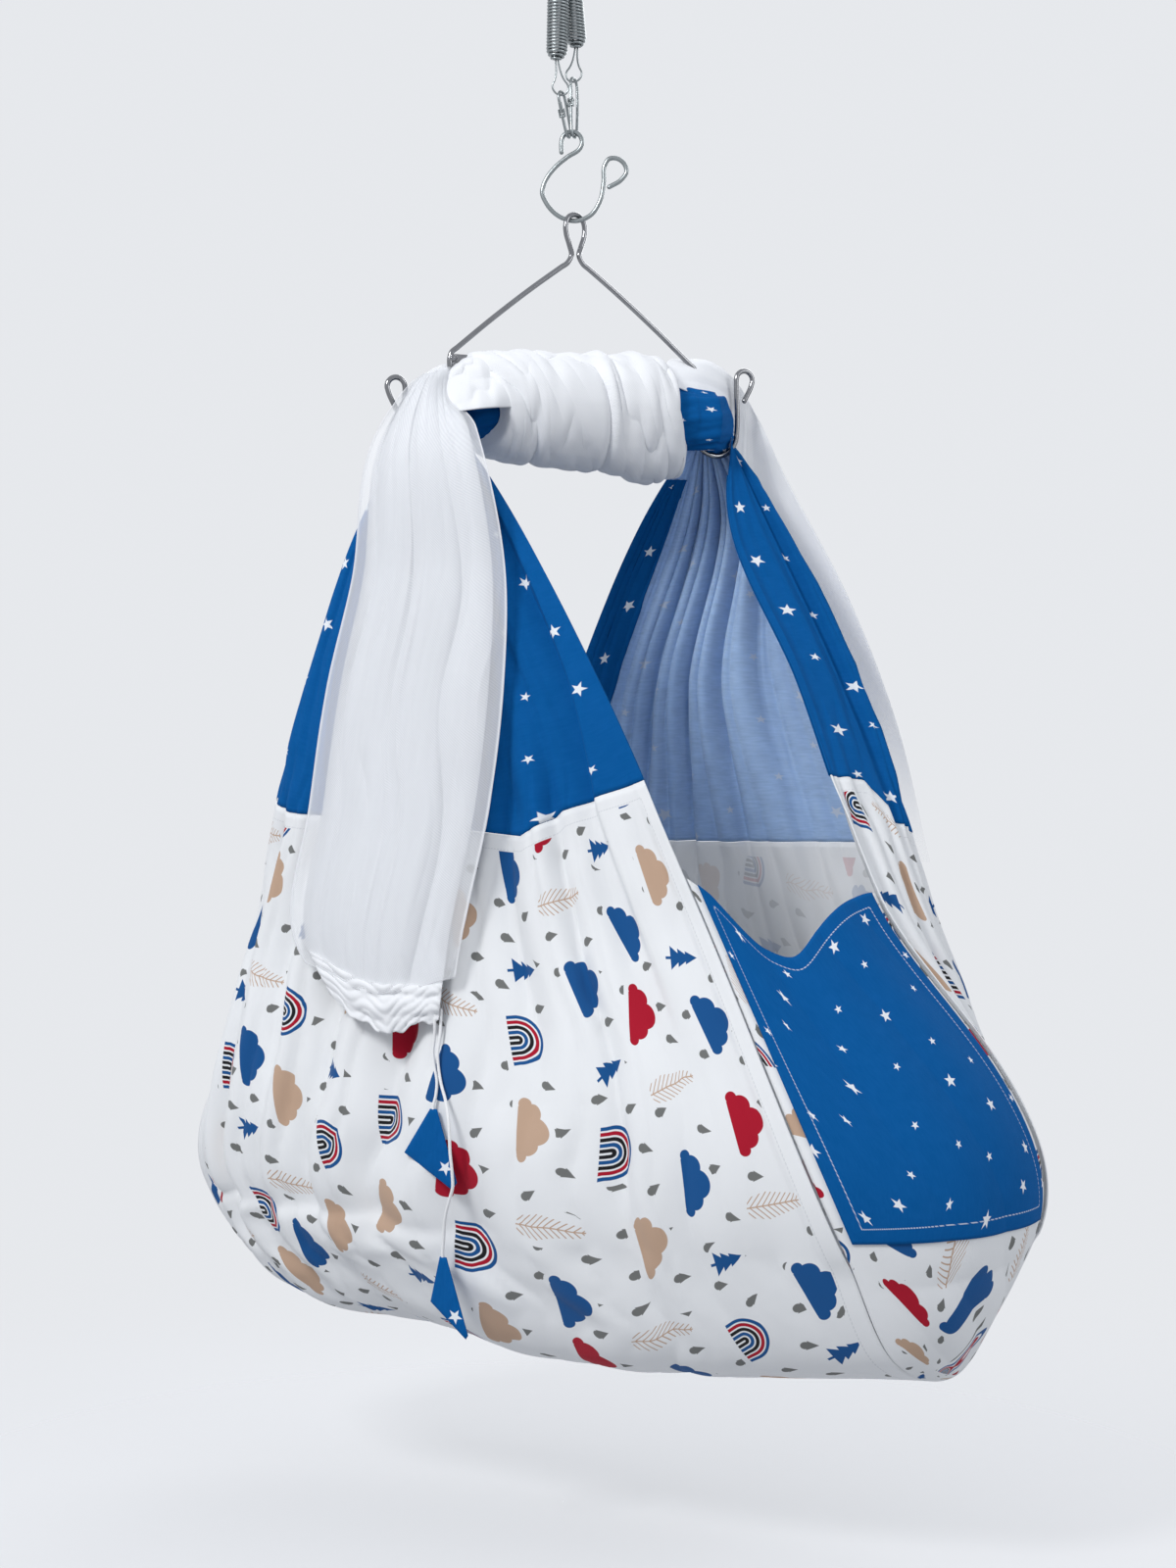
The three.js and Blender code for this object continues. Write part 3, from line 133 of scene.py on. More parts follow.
S_BOTTOM = S_CENTRE - S_HOOK_DROP
EYE_TOP = S_BOTTOM + S_HOOK_WIRE / 2 + 0.0011 + ROD / 2
BAR_LEVEL = EYE_TOP - BAR_DROP
TROUGH = BAR_LEVEL - TROUGH_DROP
HOOK_CENTRE = SHANK + HOOK_WIDTH / 2
BUNDLE_TOP = TROUGH - 0.042
BAND_CENTRE = TROUGH + ROD / 2 + FIT + BAND_RADIUS
WRAP_CENTRE = BAND_CENTRE + BAND_RADIUS / 12
S_LOOP_ACROSS = LINE_LEAN - S_HOOK_LOOP / 3

# Places


def placed(across, first, back, second, up):
    """Points at given amounts along two level directions and upwards."""
    across, back, up = np.broadcast_arrays(
        np.asarray(across, float), np.asarray(back, float), np.asarray(up, float)
    )
    return across[..., None] * first + back[..., None] * second + up[..., None] * UP


def beside(across, back, up):
    """Points beside the line through the mount: across it, away from the front, and up."""
    return placed(across, SIDE, back, AWAY, up)


def on_hanger(along, back, up):
    """Points in the hanger's own directions, from the hanger's axis."""
    return HANG_AXIS + placed(along, BAR, back, BAR_NORMAL, up)


def curve_through(points, position):
    """A smooth curve through points at positions counted in points: cubic pieces whose
    tangents weigh the two neighbouring chords by their lengths. Positions in rows and
    columns run along a grid of points, each column along its own."""
    points = np.asarray(points, float)
    position = np.atleast_1d(np.asarray(position, float))
    chords = np.diff(points, axis=0)
    lengths = np.maximum(np.linalg.norm(chords, axis=-1, keepdims=True), 1e-9)
    before, after = lengths[:-1], lengths[1:]
    inner = (chords[:-1] * (after / before) + chords[1:] * (before / after)) / (before + after)
    slopes = np.concatenate([chords[:1] / lengths[:1], inner, chords[-1:] / lengths[-1:]])
    index = np.clip(np.floor(position).astype(int), 0, len(points) - 2)
    if position.ndim == 2:
        f, lane = (position - index)[..., None], (np.arange(points.shape[1]),)
    else:
        f, lane = (position - index).reshape((-1,) + (1,) * (points.ndim - 1)), ()
    here, there = (index, *lane), (index + 1, *lane)
    reach = lengths[here]
    result = points[here] * (2 * f**3 - 3 * f**2 + 1) + slopes[here] * reach * (f**3 - 2 * f**2 + f)
    return result + points[there] * (3 * f**2 - 2 * f**3) + slopes[there] * reach * (f**3 - f**2)


def smooth_path(points, count):
    """count points evenly spaced by length on the smooth curve through the given ones."""
    fine = curve_through(points, np.linspace(0, len(points) - 1, 40 * len(points)))
    run = np.concatenate([[0], np.cumsum(np.linalg.norm(np.diff(fine, axis=0), axis=1))])
    steps = np.linspace(0, run[-1], count)
    return np.stack([np.interp(steps, run, fine[:, i]) for i in range(3)], -1)


def arc(radius, first, last, count):
    """Circle points (cosine, sine) times a radius, between two angles in degrees."""
    angle = np.radians(np.linspace(first, last, count))
    return np.stack([radius * np.cos(angle), radius * np.sin(angle)], -1)


def ease(value, first, last):
    """0 before first, 1 after last, and a smooth step in between."""
    t = np.clip((np.asarray(value, float) - first) / (last - first), 0, 1)
    return t * t * (3 - 2 * t)


def ripple(value, seed, octaves=3):
    """Smooth irregular waves between about -1 and 1: sines of unrelated lengths and phases."""
    value = np.asarray(value, float)
    total = sum(
        np.sin(value * 1.7**k * (1.9 + 0.23 * k) + seed * (3.1 + 1.3 * k)) / 1.5**k
        for k in range(octaves)
    )
    return total / 1.9


# Meshes


def unit(vectors):
    """The vectors at length 1."""
    return vectors / np.maximum(np.linalg.norm(vectors, axis=-1, keepdims=True), 1e-12)


def normals_of(points):
    """Normals of a grid of points: the cross product of its two directions."""
    return unit(np.cross(np.gradient(points, axis=1), np.gradient(points, axis=0)))


def run_lengths(points):
    """Length along each row and down each column of a grid, as texture coordinates in metres."""
    across = np.linalg.norm(np.diff(points, axis=1), axis=-1)
    down = np.linalg.norm(np.diff(points, axis=0), axis=-1)
    u = np.concatenate([np.zeros((points.shape[0], 1)), np.cumsum(across, 1)], 1)
    v = np.concatenate([np.zeros((1, points.shape[1])), np.cumsum(down, 0)], 0)
    return u, v


def make_object(name, verts, faces, uv=None, layers=None, smooth=True):
    """A mesh object from points and quads, with texture coordinates and named point values."""
    mesh = bpy.data.meshes.new(name)
    mesh.from_pydata(verts.reshape(-1, 3).tolist(), [], [list(f) for f in faces])
    if uv is not None:
        flat = np.asarray(uv, np.float32).reshape(-1, 2)
        corners = np.zeros(len(mesh.loops), np.int32)
        mesh.loops.foreach_get("vertex_index", corners)
        layer = mesh.uv_layers.new(name="cloth")
        layer.data.foreach_set("uv", flat[corners].ravel())
    for key, values in (layers or {}).items():
        attribute = mesh.attributes.new(key, "FLOAT", "POINT")
        attribute.data.foreach_set("value", np.asarray(values, np.float32).ravel())
    if smooth:
        mesh.shade_smooth()
    mesh.update()
    thing = bpy.data.objects.new(name, mesh)
    bpy.context.scene.collection.objects.link(thing)
    return thing


def grid_faces(rows, columns, around=False):
    """Quads of a grid of points; around joins the last column to the first one."""
    index = np.arange(rows * columns).reshape(rows, columns)
    right = np.roll(index, -1, axis=1) if around else index[:, 1:]
    left = index if around else index[:, :-1]
    quads = np.stack([left[:-1], right[:-1], right[1:], left[1:]], -1)
    return quads.reshape(-1, 4)


def capped_faces(rings, sides, reverse=False):
    """Quads of a tube's rings and one face over each end; reverse turns them all over."""
    faces = grid_faces(rings, sides, True)
    ends = np.array([np.arange(sides)[::-1], np.arange(sides) + (rings - 1) * sides])
    if reverse:
        faces, ends = faces[:, ::-1], ends[:, ::-1]
    return faces.tolist() + ends.tolist()


def rings_round(path, radius, first, second, sides):
    """Circles round the points of a path: cosine along one direction, sine along the other."""
    angle = np.linspace(0, 2 * math.pi, sides, endpoint=False)[None, :, None]
    return path[:, None] + radius * (np.cos(angle) * first[:, None] + np.sin(angle) * second[:, None])


def tube_points(path, radius, sides, plane=None):
    """Rings round a path: each ring lies across the path's direction, turned by a fixed reference."""
    path = np.asarray(path, float)
    tangent = unit(np.gradient(path, axis=0))
    reference = np.broadcast_to(AWAY if plane is None else plane, path.shape)
    first = unit(reference - (reference * tangent).sum(-1, keepdims=True) * tangent)
    second = np.cross(tangent, first)
    radius = np.broadcast_to(np.asarray(radius, float), (len(path),))[:, None, None]
    return rings_round(path, radius, first, second, sides)


def rounded(path, radius):
    """The path lengthened at both ends by the radius, with radii that close it like a ball."""
    start = unit(path[0] - path[1])
    end = unit(path[-1] - path[-2])
    quarter = np.linspace(0, math.pi / 2, 5)[1:]
    reach, width = np.sin(quarter), np.maximum(np.cos(quarter), 0.03)
    head = path[0] + start * (radius * reach[::-1, None])
    tail = path[-1] + end * (radius * reach[:, None])
    radii = np.concatenate([radius * width[::-1], np.full(len(path), radius), radius * width])
    return np.concatenate([head, path, tail]), radii


def tube(name, path, radius, sides=20, plane=None, closed=False):
    """A round wire along a path, with rounded ends, or closed on itself."""
    if closed:
        points = tube_points(np.concatenate([path[-1:], path, path[:1]]), radius, sides, plane)[1:-1]
        rings = np.concatenate([points, points[:1]])
        faces = grid_faces(len(rings), sides, True)
        faces = np.where(faces >= len(path) * sides, faces - len(path) * sides, faces)
        return make_object(name, points, faces)
    longer, radii = rounded(np.asarray(path, float), radius)
    points = tube_points(longer, radii, sides, plane)
    faces = capped_faces(len(points), sides)
    u = np.broadcast_to(np.arange(sides) / sides * 2 * math.pi * radius, points.shape[:2])
    run = np.concatenate([[0], np.cumsum(np.linalg.norm(np.diff(longer, axis=0), axis=1))])
    v = np.broadcast_to(run[:, None], points.shape[:2])
    return make_object(name, points, faces, np.stack([u, v], -1))


def joined(name, things):
    """One object from several, under one name."""
    bpy.ops.object.select_all(action="DESELECT")
    for thing in things:
        thing.select_set(True)
    bpy.context.view_layer.objects.active = things[0]
    bpy.ops.object.join()
    things[0].name = name
    return things[0]


def block(name, size, centre, axes, bevel=0.0004):
    """A small box with softened edges, its own axes given as three directions."""
    signs = np.array([[x, y, z] for x in (-1, 1) for y in (-1, 1) for z in (-1, 1)], float)
    points = centre + (signs * np.array(size) / 2) @ np.array(axes)
    faces = [[0, 1, 3, 2], [4, 6, 7, 5], [0, 4, 5, 1], [2, 3, 7, 6], [0, 2, 6, 4], [1, 5, 7, 3]]
    thing = make_object(name, points, faces, smooth=False)
    apply_modifier(thing, "BEVEL", width=bevel, segments=2)
    return thing


def apply_modifier(thing, kind, **values):
    """Adds a modifier, sets it and applies it to the mesh."""
    modifier = thing.modifiers.new(kind.lower(), kind)
    for key, value in values.items():
        setattr(modifier, key, value)
    bpy.context.view_layer.objects.active = thing
    bpy.ops.object.select_all(action="DESELECT")
    thing.select_set(True)
    bpy.ops.object.modifier_apply(modifier=modifier.name)


def cloth_object(name, points, uv, layers, outside, inside, thickness):
    """A thin closed sheet: the grid is its outer face, and a second face lies behind it. outside
    and inside are the keys of their materials."""
    thing = make_object(name, points, grid_faces(*points.shape[:2]), uv, layers)
    for key in (outside, inside):
        thing.data.materials.append(material(key))
    apply_modifier(
        thing, "SOLIDIFY", thickness=thickness, offset=-1.0, material_offset=1, material_offset_rim=0
    )
    return thing


# Shader formulas


class Field:
    """A number worked out by shader nodes, so that a pattern reads as a formula."""

    def __init__(self, tree, socket):
        self.tree = tree
        self.socket = socket

    def math(self, kind, *others, clamp=False):
        """One Math node whose inputs are this number and the others."""
        node = self.tree.nodes.new("ShaderNodeMath")
        node.operation = kind
        node.use_clamp = clamp
        for slot, value in enumerate((self, *others)):
            if isinstance(value, Field):
                self.tree.links.new(value.socket, node.inputs[slot])
            else:
                node.inputs[slot].default_value = value
        return Field(self.tree, node.outputs[0])

    def __add__(self, other):
        return self.math("ADD", other)

    def __sub__(self, other):
        return self.math("SUBTRACT", other)

    def __rsub__(self, other):
        return self.math("MULTIPLY", -1.0).math("ADD", other)

    def __mul__(self, other):
        return self.math("MULTIPLY", other)

    def __truediv__(self, other):
        return self.math("DIVIDE", other)

    __radd__ = __add__
    __rmul__ = __mul__

    def low(self, other):
        return self.math("MINIMUM", other)

    def high(self, other):
        return self.math("MAXIMUM", other)

    def abs(self):
        return self.math("ABSOLUTE")

    def over(self, limit):
        return self.math("GREATER_THAN", limit)

    def under(self, limit):
        return self.math("LESS_THAN", limit)

    def edge(self, width=0.0005):
        """1 where the value is above zero, 0 below, with a soft step of that width."""
        return self.math("DIVIDE", width).math("ADD", 0.5, clamp=True)


def length_of(x, y):
    """The distance of the point (x, y) from the middle."""
    return (x * x + y * y).math("SQRT")


def turned(x, y, angle):
    """The point (x, y) turned by an angle."""
    c, s = angle.math("COSINE"), angle.math("SINE")
    return x * c - y * s, x * s + y * c


def cell_noise(tree, i, j, seed):
    """Three random numbers of a cell."""
    combine = tree.nodes.new("ShaderNodeCombineXYZ")
    tree.links.new(i.socket, combine.inputs[0])
    tree.links.new(j.socket, combine.inputs[1])
    combine.inputs[2].default_value = seed
    noise = tree.nodes.new("ShaderNodeTexWhiteNoise")
    noise.noise_dimensions = "3D"
    tree.links.new(combine.outputs[0], noise.inputs["Vector"])
    split = tree.nodes.new("ShaderNodeSeparateXYZ")
    tree.links.new(noise.outputs["Color"], split.inputs[0])
    return [Field(tree, split.outputs[k]) for k in range(3)]


def cells(tree, u, v, width, height, seed, jitter):
    """Staggered cells: the place in the cell from its own middle, the cell's three random numbers
    and its column and row."""
    j = (v / height).math("FLOOR")
    a = u / width + (j * 0.5).math("FRACT")
    i = a.math("FLOOR")
    chance = cell_noise(tree, i, j, seed)
    x = (a - i - 0.5 + (chance[0] - 0.5) * jitter) * width
    y = (v / height - j - 0.5 + (chance[1] - 0.5) * jitter) * height
    return x, y, chance, (i, j)

STAR_WAIST = 0.42
def star_shape(x, y, radius):
    """Above zero inside a five-pointed star: the plane is folded into one tenth of a turn, where
    one straight edge is the whole outline."""
    tenth = math.pi / 5
    angle = x.math("ARCTAN2", y)
    folded = ((angle / (2 * tenth) + 100.5).math("FRACT") - 0.5).abs() * (2 * tenth)
    reach = length_of(x, y)
    fx, fy = reach * folded.math("COSINE"), reach * folded.math("SINE")
    nx, ny = STAR_WAIST * math.sin(tenth), 1 - STAR_WAIST * math.cos(tenth)
    size = math.hypot(nx, ny)
    return (radius * nx - fx * nx - fy * ny) * (1 / size)


def texture_uv(tree):
    """The piece's own texture coordinates, in metres."""
    node = tree.nodes.new("ShaderNodeUVMap")
    node.uv_map = "cloth"
    split = tree.nodes.new("ShaderNodeSeparateXYZ")
    tree.links.new(node.outputs[0], split.inputs[0])
    return Field(tree, split.outputs[0]), Field(tree, split.outputs[1])


def point_value(tree, name):
    """A named value that the mesh's points carry."""
    node = tree.nodes.new("ShaderNodeAttribute")
    node.attribute_name = name
    return Field(tree, node.outputs["Fac"])


def mixed(tree, factor, first, second):
    """Colour mix of two colours or sockets by a factor."""
    node = tree.nodes.new("ShaderNodeMix")
    node.data_type = "RGBA"
    tree.links.new(factor.socket, node.inputs[0])
    for slot, value in ((6, first), (7, second)):
        if isinstance(value, bpy.types.NodeSocket):
            tree.links.new(value, node.inputs[slot])
        else:
            node.inputs[slot].default_value = (*value[:3], 1)
    return node.outputs[2]


def noise_field(tree, scale, detail=3.0, stretch=(1, 1, 1), coordinates="Object"):
    """Noise on object coordinates or the cloth's own, stretched along an axis."""
    if coordinates == "cloth":
        source = tree.nodes.new("ShaderNodeUVMap")
        source.uv_map = "cloth"
        out = source.outputs[0]
    else:
        out = tree.nodes.new("ShaderNodeTexCoord").outputs[coordinates]
    mapping = tree.nodes.new("ShaderNodeMapping")
    mapping.inputs["Scale"].default_value = stretch
    noise = tree.nodes.new("ShaderNodeTexNoise")
    noise.inputs["Scale"].default_value = scale
    noise.inputs["Detail"].default_value = detail
    tree.links.new(out, mapping.inputs[0])
    tree.links.new(mapping.outputs[0], noise.inputs["Vector"])
    return Field(tree, noise.outputs[0])


def new_material(name):
    """A material with its node tree and its shader."""
    material = bpy.data.materials.new(name)
    material.use_nodes = True
    tree = material.node_tree
    return material, tree, tree.nodes["Principled BSDF"]


def bump(tree, shader, height, strength, distance):
    """Lets a height, over a distance in metres, turn the shader's normal."""
    node = tree.nodes.new("ShaderNodeBump")
    node.inputs["Strength"].default_value = strength
    node.inputs["Distance"].default_value = distance
    tree.links.new(height.socket, node.inputs["Height"])
    tree.links.new(node.outputs[0], shader.inputs["Normal"])


def weave(u, v, pitch):
    """Plain weave: crossing threads, each a row of rounded bumps."""
    a = (u * (2 * math.pi / pitch)).math("SINE")
    b = (v * (2 * math.pi / pitch)).math("SINE")
    return a * b

WEAVE_PITCH = 0.0011
STITCH_WIDTH = 0.001
STITCH_LENGTH = 0.0042
def stitch_line(hem, run, inset):
    """A dashed sewing line at a distance from the edge: dashes and gaps as a raised sine."""
    near = STITCH_WIDTH / 2 - (hem - inset).abs()
    dash = (run * (2 * math.pi / STITCH_LENGTH)).math("SINE") + 0.55
    return near.edge(0.0006) * dash.edge(0.6)


def cotton(tree, shader, u, v, colour, glow, specular=0.12, sheen=0.08):
    """Finish shared by the cotton cloths: weave, soft creases, a slight sheen, and light that
    passes through the thin cloth."""
    creases = noise_field(tree, 16, 4, (1, 0.35, 1), "cloth")
    height = weave(u, v, WEAVE_PITCH) * 0.06 + creases
    bump(tree, shader, height, 0.4, 0.004)
    shader.inputs["Roughness"].default_value = 0.85
    shader.inputs["Specular IOR Level"].default_value = specular
    shader.inputs["Sheen Weight"].default_value = sheen
    shader.inputs["Sheen Roughness"].default_value = 0.5
    shader.inputs["Subsurface Weight"].default_value = glow
    shader.inputs["Subsurface Radius"].default_value = (1.0, 1.0, 1.0)
    shader.inputs["Subsurface Scale"].default_value = 0.003
    tree.links.new(colour, shader.inputs["Base Color"])

STAR_CELL = (0.066, 0.043)
SMALL_STAR = 0.0045
LARGER_BY = 0.0028


def star_material(name, ground, ink, worn, stitched=0.0, glow=0.1):
    """Blue cotton with scattered stars in two sizes; worn is how far the ground's threads vary."""
    material, tree, shader = new_material(name)
    u, v = texture_uv(tree)
    x, y, chance, _ = cells(tree, u, v, *STAR_CELL, 1.0, 0.34)
    x, y = turned(x, y, chance[2] * 1.2)
    mask = star_shape(x, y, SMALL_STAR + chance[0].over(0.5) * LARGER_BY).edge()
    if stitched:
        mask = mask.high(stitch_line(point_value(tree, "hem"), u + v, stitched) * 0.7)
    threads = noise_field(tree, 60, 4, (1, 1, 1), "cloth")
    fine = noise_field(tree, 420, 2, (1, 0.2, 1), "cloth")
    blend = ((threads - 0.5) * 0.6 + (fine - 0.5) * 0.8 + 0.5).math("ADD", 0.0, clamp=True)
    light = tuple(min(1.0, c * (1 + worn) + worn * 0.05) for c in ground[:3])
    dark = tuple(c * (1 - worn) for c in ground[:3])
    base = mixed(tree, blend, dark, light)
    cotton(tree, shader, u, v, mixed(tree, mask, base, ink), glow, specular=0.04, sheen=0.01)
    return material

PRINT_CELL = (0.083, 0.069)
DROP_CELL = (0.0415, 0.0345)
MOTIF_SHRINK = 1.13
CLOUD_DISCS = (
    (0.001, 0.003, 0.0155), (0.0165, -0.003, 0.011), (-0.0175, -0.0035, 0.012),
    (0.028, -0.0105, 0.0062), (-0.029, -0.0103, 0.0064),
)
RAINBOW_RADIUS = 0.0275
RAINBOW_STEP = 0.0056
RAINBOW_INKS = ("blue", "red", "black", "blue", "black")
FIR_TIERS = ((0.019, 0.005, 0.0075), (0.011, -0.004, 0.0105), (0.002, -0.013, 0.0135))
LEAF_STEP = 0.0062


def cloud_shape(x, y, width):
    """A flat-bottomed cloud: discs, each a middle and a radius, on a low bar."""
    shape = (0.0062 - (y + 0.0105).abs()).low(0.026 - width)
    for cx, cy, radius in CLOUD_DISCS:
        shape = shape.high(radius - length_of(x - cx, y - cy))
    return shape


def fir_shape(y, width):
    """A fir: a trunk, and tiers that each narrow from their bottom to their top."""
    shape = (0.0016 - width).low(y + 0.019).low(-0.008 - y)
    for top, bottom, half in FIR_TIERS:
        tier = (top - y) * (half / (top - bottom)) - width
        shape = shape.high(tier.low(y - bottom))
    return shape


def sprig_shape(y, width):
    """A sprig: a stem with rows of slanted leaves."""
    stem = (0.0007 - width).low(0.031 - y.abs())
    slanted = (y - width * 0.9) / LEAF_STEP
    leaf = (slanted.math("FRACT") - 0.5).abs() * -LEAF_STEP + 0.00075
    return stem.high(leaf.low(0.0145 - width - (y + 0.01).abs() * 0.22).low(0.03 - y.abs()))


def print_layers(tree, u, v, colours):
    """The nursery print's layers as (mask, colour): clouds, rainbows, firs, sprigs and drops, one
    large motif to a cell, and drops in the room between them. Upwards on a motif is +v. The
    kind of motif steps from cell to cell, so that neighbours differ."""
    x, y, chance, cell = cells(tree, u, v, *PRINT_CELL, 3.0, 0.22)
    kind = (cell[0] * 0.382 + cell[1] * 0.236 + 0.1).math("FRACT")
    x, y = turned(x, y, (chance[1] - 0.5) * 0.6)
    x, y = x * MOTIF_SHRINK, y * MOTIF_SHRINK
    width = x.abs()
    cloud = cloud_shape(x, y, width)
    foot = y + 0.012
    reach = foot.over(0.0) * length_of(x, foot) + foot.under(0.0) * width
    rainbow = (RAINBOW_RADIUS - reach).low(y + 0.021)
    band = (RAINBOW_RADIUS - reach) / RAINBOW_STEP
    order = band.math("FLOOR")
    stripes = 0.0019 - ((band - order) * RAINBOW_STEP - 0.0021).abs()
    stripes = stripes.low(rainbow).low(0.0003 + reach)

    def pick(low, high):
        return kind.over(low) * kind.under(high)

    layers = [
        (cloud.edge() * pick(0.0, 0.2), colours["blue"]),
        (cloud.edge() * pick(0.2, 0.38), colours["tan"]),
        (cloud.edge() * pick(0.38, 0.48), colours["red"]),
        (fir_shape(y, width).edge() * pick(0.48, 0.63), colours["blue"]),
        (sprig_shape(y, width).edge() * pick(0.63, 0.8), colours["tan"]),
    ]
    rainbows = stripes.edge() * pick(0.8, 1.01)
    for number, ink in enumerate(RAINBOW_INKS):
        stripe = order.over(number - 0.5) * order.under(number + 0.5)
        layers.append((rainbows * stripe, colours[ink]))
    across, up, luck, _ = cells(tree, u + DROP_CELL[0], v, *DROP_CELL, 9.0, 0.3)
    across, up = turned(across, up, (luck[2] - 0.5) * 1.2)
    point = ((0.0092 - up) * 0.5 - across.abs()).low(up + 0.001)
    drop = (0.0041 - length_of(across, up + 0.002)).high(point)
    taken = (cloud.high(0.018 - length_of(x, y)) + 0.006).over(0.0) * pick(0.0, 0.48)
    taken = taken.high((0.023 - length_of(x, y)).over(0.0) * pick(0.48, 0.63))
    taken = taken.high((0.036 - length_of(x * 1.6, y)).over(0.0) * pick(0.63, 0.8))
    taken = taken.high((rainbow.high(0.02 - length_of(x, y)) + 0.006).over(0.0) * pick(0.8, 1.01))
    layers.append((drop.edge() * (1.0 - taken) * luck[0].over(0.12), colours["grey"]))
    return layers


def print_material(name, ground, colours, strength, stitched=0.0, glow=0.0):
    """White cotton with the nursery print; strength fades it for the wrong side."""
    material, tree, shader = new_material(name)
    u, v = texture_uv(tree)
    hem = point_value(tree, "hem")
    plain = (hem - 0.016).edge()
    threads = noise_field(tree, 9, 3, (1, 1, 1), "cloth")
    shade = tuple(c * 0.95 for c in ground[:3])
    colour = mixed(tree, threads, shade, ground)
    for mask, ink in print_layers(tree, u, v, colours):
        ink = tuple(g + (c - g) * strength for g, c in zip(ground, ink))
        colour = mixed(tree, mask * plain, colour, ink)
    if stitched:
        colour = mixed(tree, stitch_line(hem, u + v, stitched) * 0.5, colour, (0.55, 0.57, 0.6))
    cotton(tree, shader, u, v, colour, glow)
    return material


def net_material(name, tint, cover):
    """Fine net: cover is the share of light that it stops, and folds stop more than one layer."""
    material, tree, shader = new_material(name)
    u, v = texture_uv(tree)
    folds = noise_field(tree, 26, 5, (1, 0.12, 1), "cloth")
    mesh = weave(u, v, 0.0024)
    layers = point_value(tree, "layers")
    alpha = (layers * cover + (folds - 0.5) * 0.16 + mesh * 0.035).math("ADD", 0.0, clamp=True)
    tree.links.new(alpha.socket, shader.inputs["Alpha"])
    # Painted shade: the colour is darker where the fold noise is low, and that noise is also the bump's
    # height, so the fold valleys are painted darker.
    shade = tuple(c * 0.93 for c in tint[:3])
    tree.links.new(mixed(tree, folds, shade, tint), shader.inputs["Base Color"])
    bump(tree, shader, folds + mesh * 0.05, 0.45, 0.005)
    shader.inputs["Roughness"].default_value = 0.9
    shader.inputs["Specular IOR Level"].default_value = 0.15
    shader.inputs["Sheen Weight"].default_value = 0.2
    return material


def metal_material(name, colour, roughness, scratches):
    """Plated wire: a metal with drawn lines and a slightly cloudy plating."""
    material, tree, shader = new_material(name)
    cloud = noise_field(tree, 90, 4)
    lines = noise_field(tree, 900, 2, (1, 1, 0.08))
    dark = tuple(c * 0.78 for c in colour[:3])
    tree.links.new(mixed(tree, cloud, dark, colour), shader.inputs["Base Color"])
    shader.inputs["Metallic"].default_value = 1.0
    tree.links.new((cloud * 0.12 + lines * scratches + roughness).socket, shader.inputs["Roughness"])
    bump(tree, shader, lines + cloud, scratches, 0.0002)
    return material


def plain_cotton(name, colour, scale):
    """Undyed cotton cloth or cord with a visible twist or weave."""
    material, tree, shader = new_material(name)
    u, v = texture_uv(tree)
    threads = noise_field(tree, 200, 3, (1, 1, 1), "cloth")
    shade = tuple(c * 0.9 for c in colour[:3])
    tree.links.new(mixed(tree, threads, shade, colour), shader.inputs["Base Color"])
    twist = ((u * 1.0 + v * 0.8) * (2 * math.pi / scale)).math("SINE")
    bump(tree, shader, twist * 0.5 + threads, 0.35, 0.0008)
    shader.inputs["Roughness"].default_value = 0.9
    shader.inputs["Specular IOR Level"].default_value = 0.15
    return material


# What a user may change
def length_setting(name, description, default):
    """A length that a user may change."""
    return bpy.props.FloatProperty(name=name, description=description, default=default, unit="LENGTH")


def colour_setting(name, description, default):
    """A colour that a user may change."""
    return bpy.props.FloatVectorProperty(
        name=name, description=description, subtype="COLOR", default=default
    )


class CradleSizes(bpy.types.PropertyGroup):
    """Thicknesses and fold depths"""

    cloth: length_setting("Cloth", "Thickness of the cotton", 0.0012)
    net: length_setting("Net", "Thickness of the net", 0.0012)
    fold: length_setting("Folds", "Depth of the folds in the star panels", 0.012)
    crease: length_setting("Creases", "Depth of the creases in the printed cloth", 0.028)
    coil_wire: length_setting("Spring wire", "Diameter of the spring wire", 0.0029)
    string: length_setting("Drawstring", "Diameter of the drawstring", 0.003)


class CradleColours(bpy.types.PropertyGroup):
    """Colours of the cloths, the print and the metal"""

    blue: colour_setting("Blue", "Star cloth", (0.0006, 0.092, 0.31))
    # Painted light: this blue is partly the cloth's own paler wrong side and partly lightened to stand for
    # light coming through the cloth inside the cradle.
    blue_back_painted_lighter: colour_setting("Blue, wrong side", "Wrong side of the star cloth", (0.34, 0.47, 0.68))
    white: colour_setting("White", "Ground of the printed cloth", (0.83, 0.845, 0.86))
    net: colour_setting("Net", "Mosquito net", (0.84, 0.855, 0.88))
    navy: colour_setting("Navy", "Blue of the print", (0.009, 0.083, 0.262))
    red: colour_setting("Red", "Red of the print", (0.40, 0.008, 0.026))
    tan: colour_setting("Tan", "Tan of the print", (0.52, 0.36, 0.26))
    grey: colour_setting("Grey", "Grey of the print", (0.17, 0.175, 0.17))
    steel: colour_setting("Steel", "Zinc-plated wire", (0.33, 0.36, 0.37))
    # Painted reflection: the chrome's colour is darker than real chrome, to stand for the dark surroundings
    # that it would reflect.
    chrome: colour_setting("Chrome", "Hanger rod", (0.28, 0.285, 0.3))


def sizes():
    """The sizes as the scene holds them."""
    return bpy.context.scene.cradle_sizes


def colours():
    """The colours as the scene holds them."""
    return bpy.context.scene.cradle_colours


MATERIALS = {}
STAR_INK = (0.8, 0.83, 0.87)
BACK_INK = (0.5, 0.56, 0.66)
STITCH_INSET = 0.0145
BACK_GLOW = 0.6


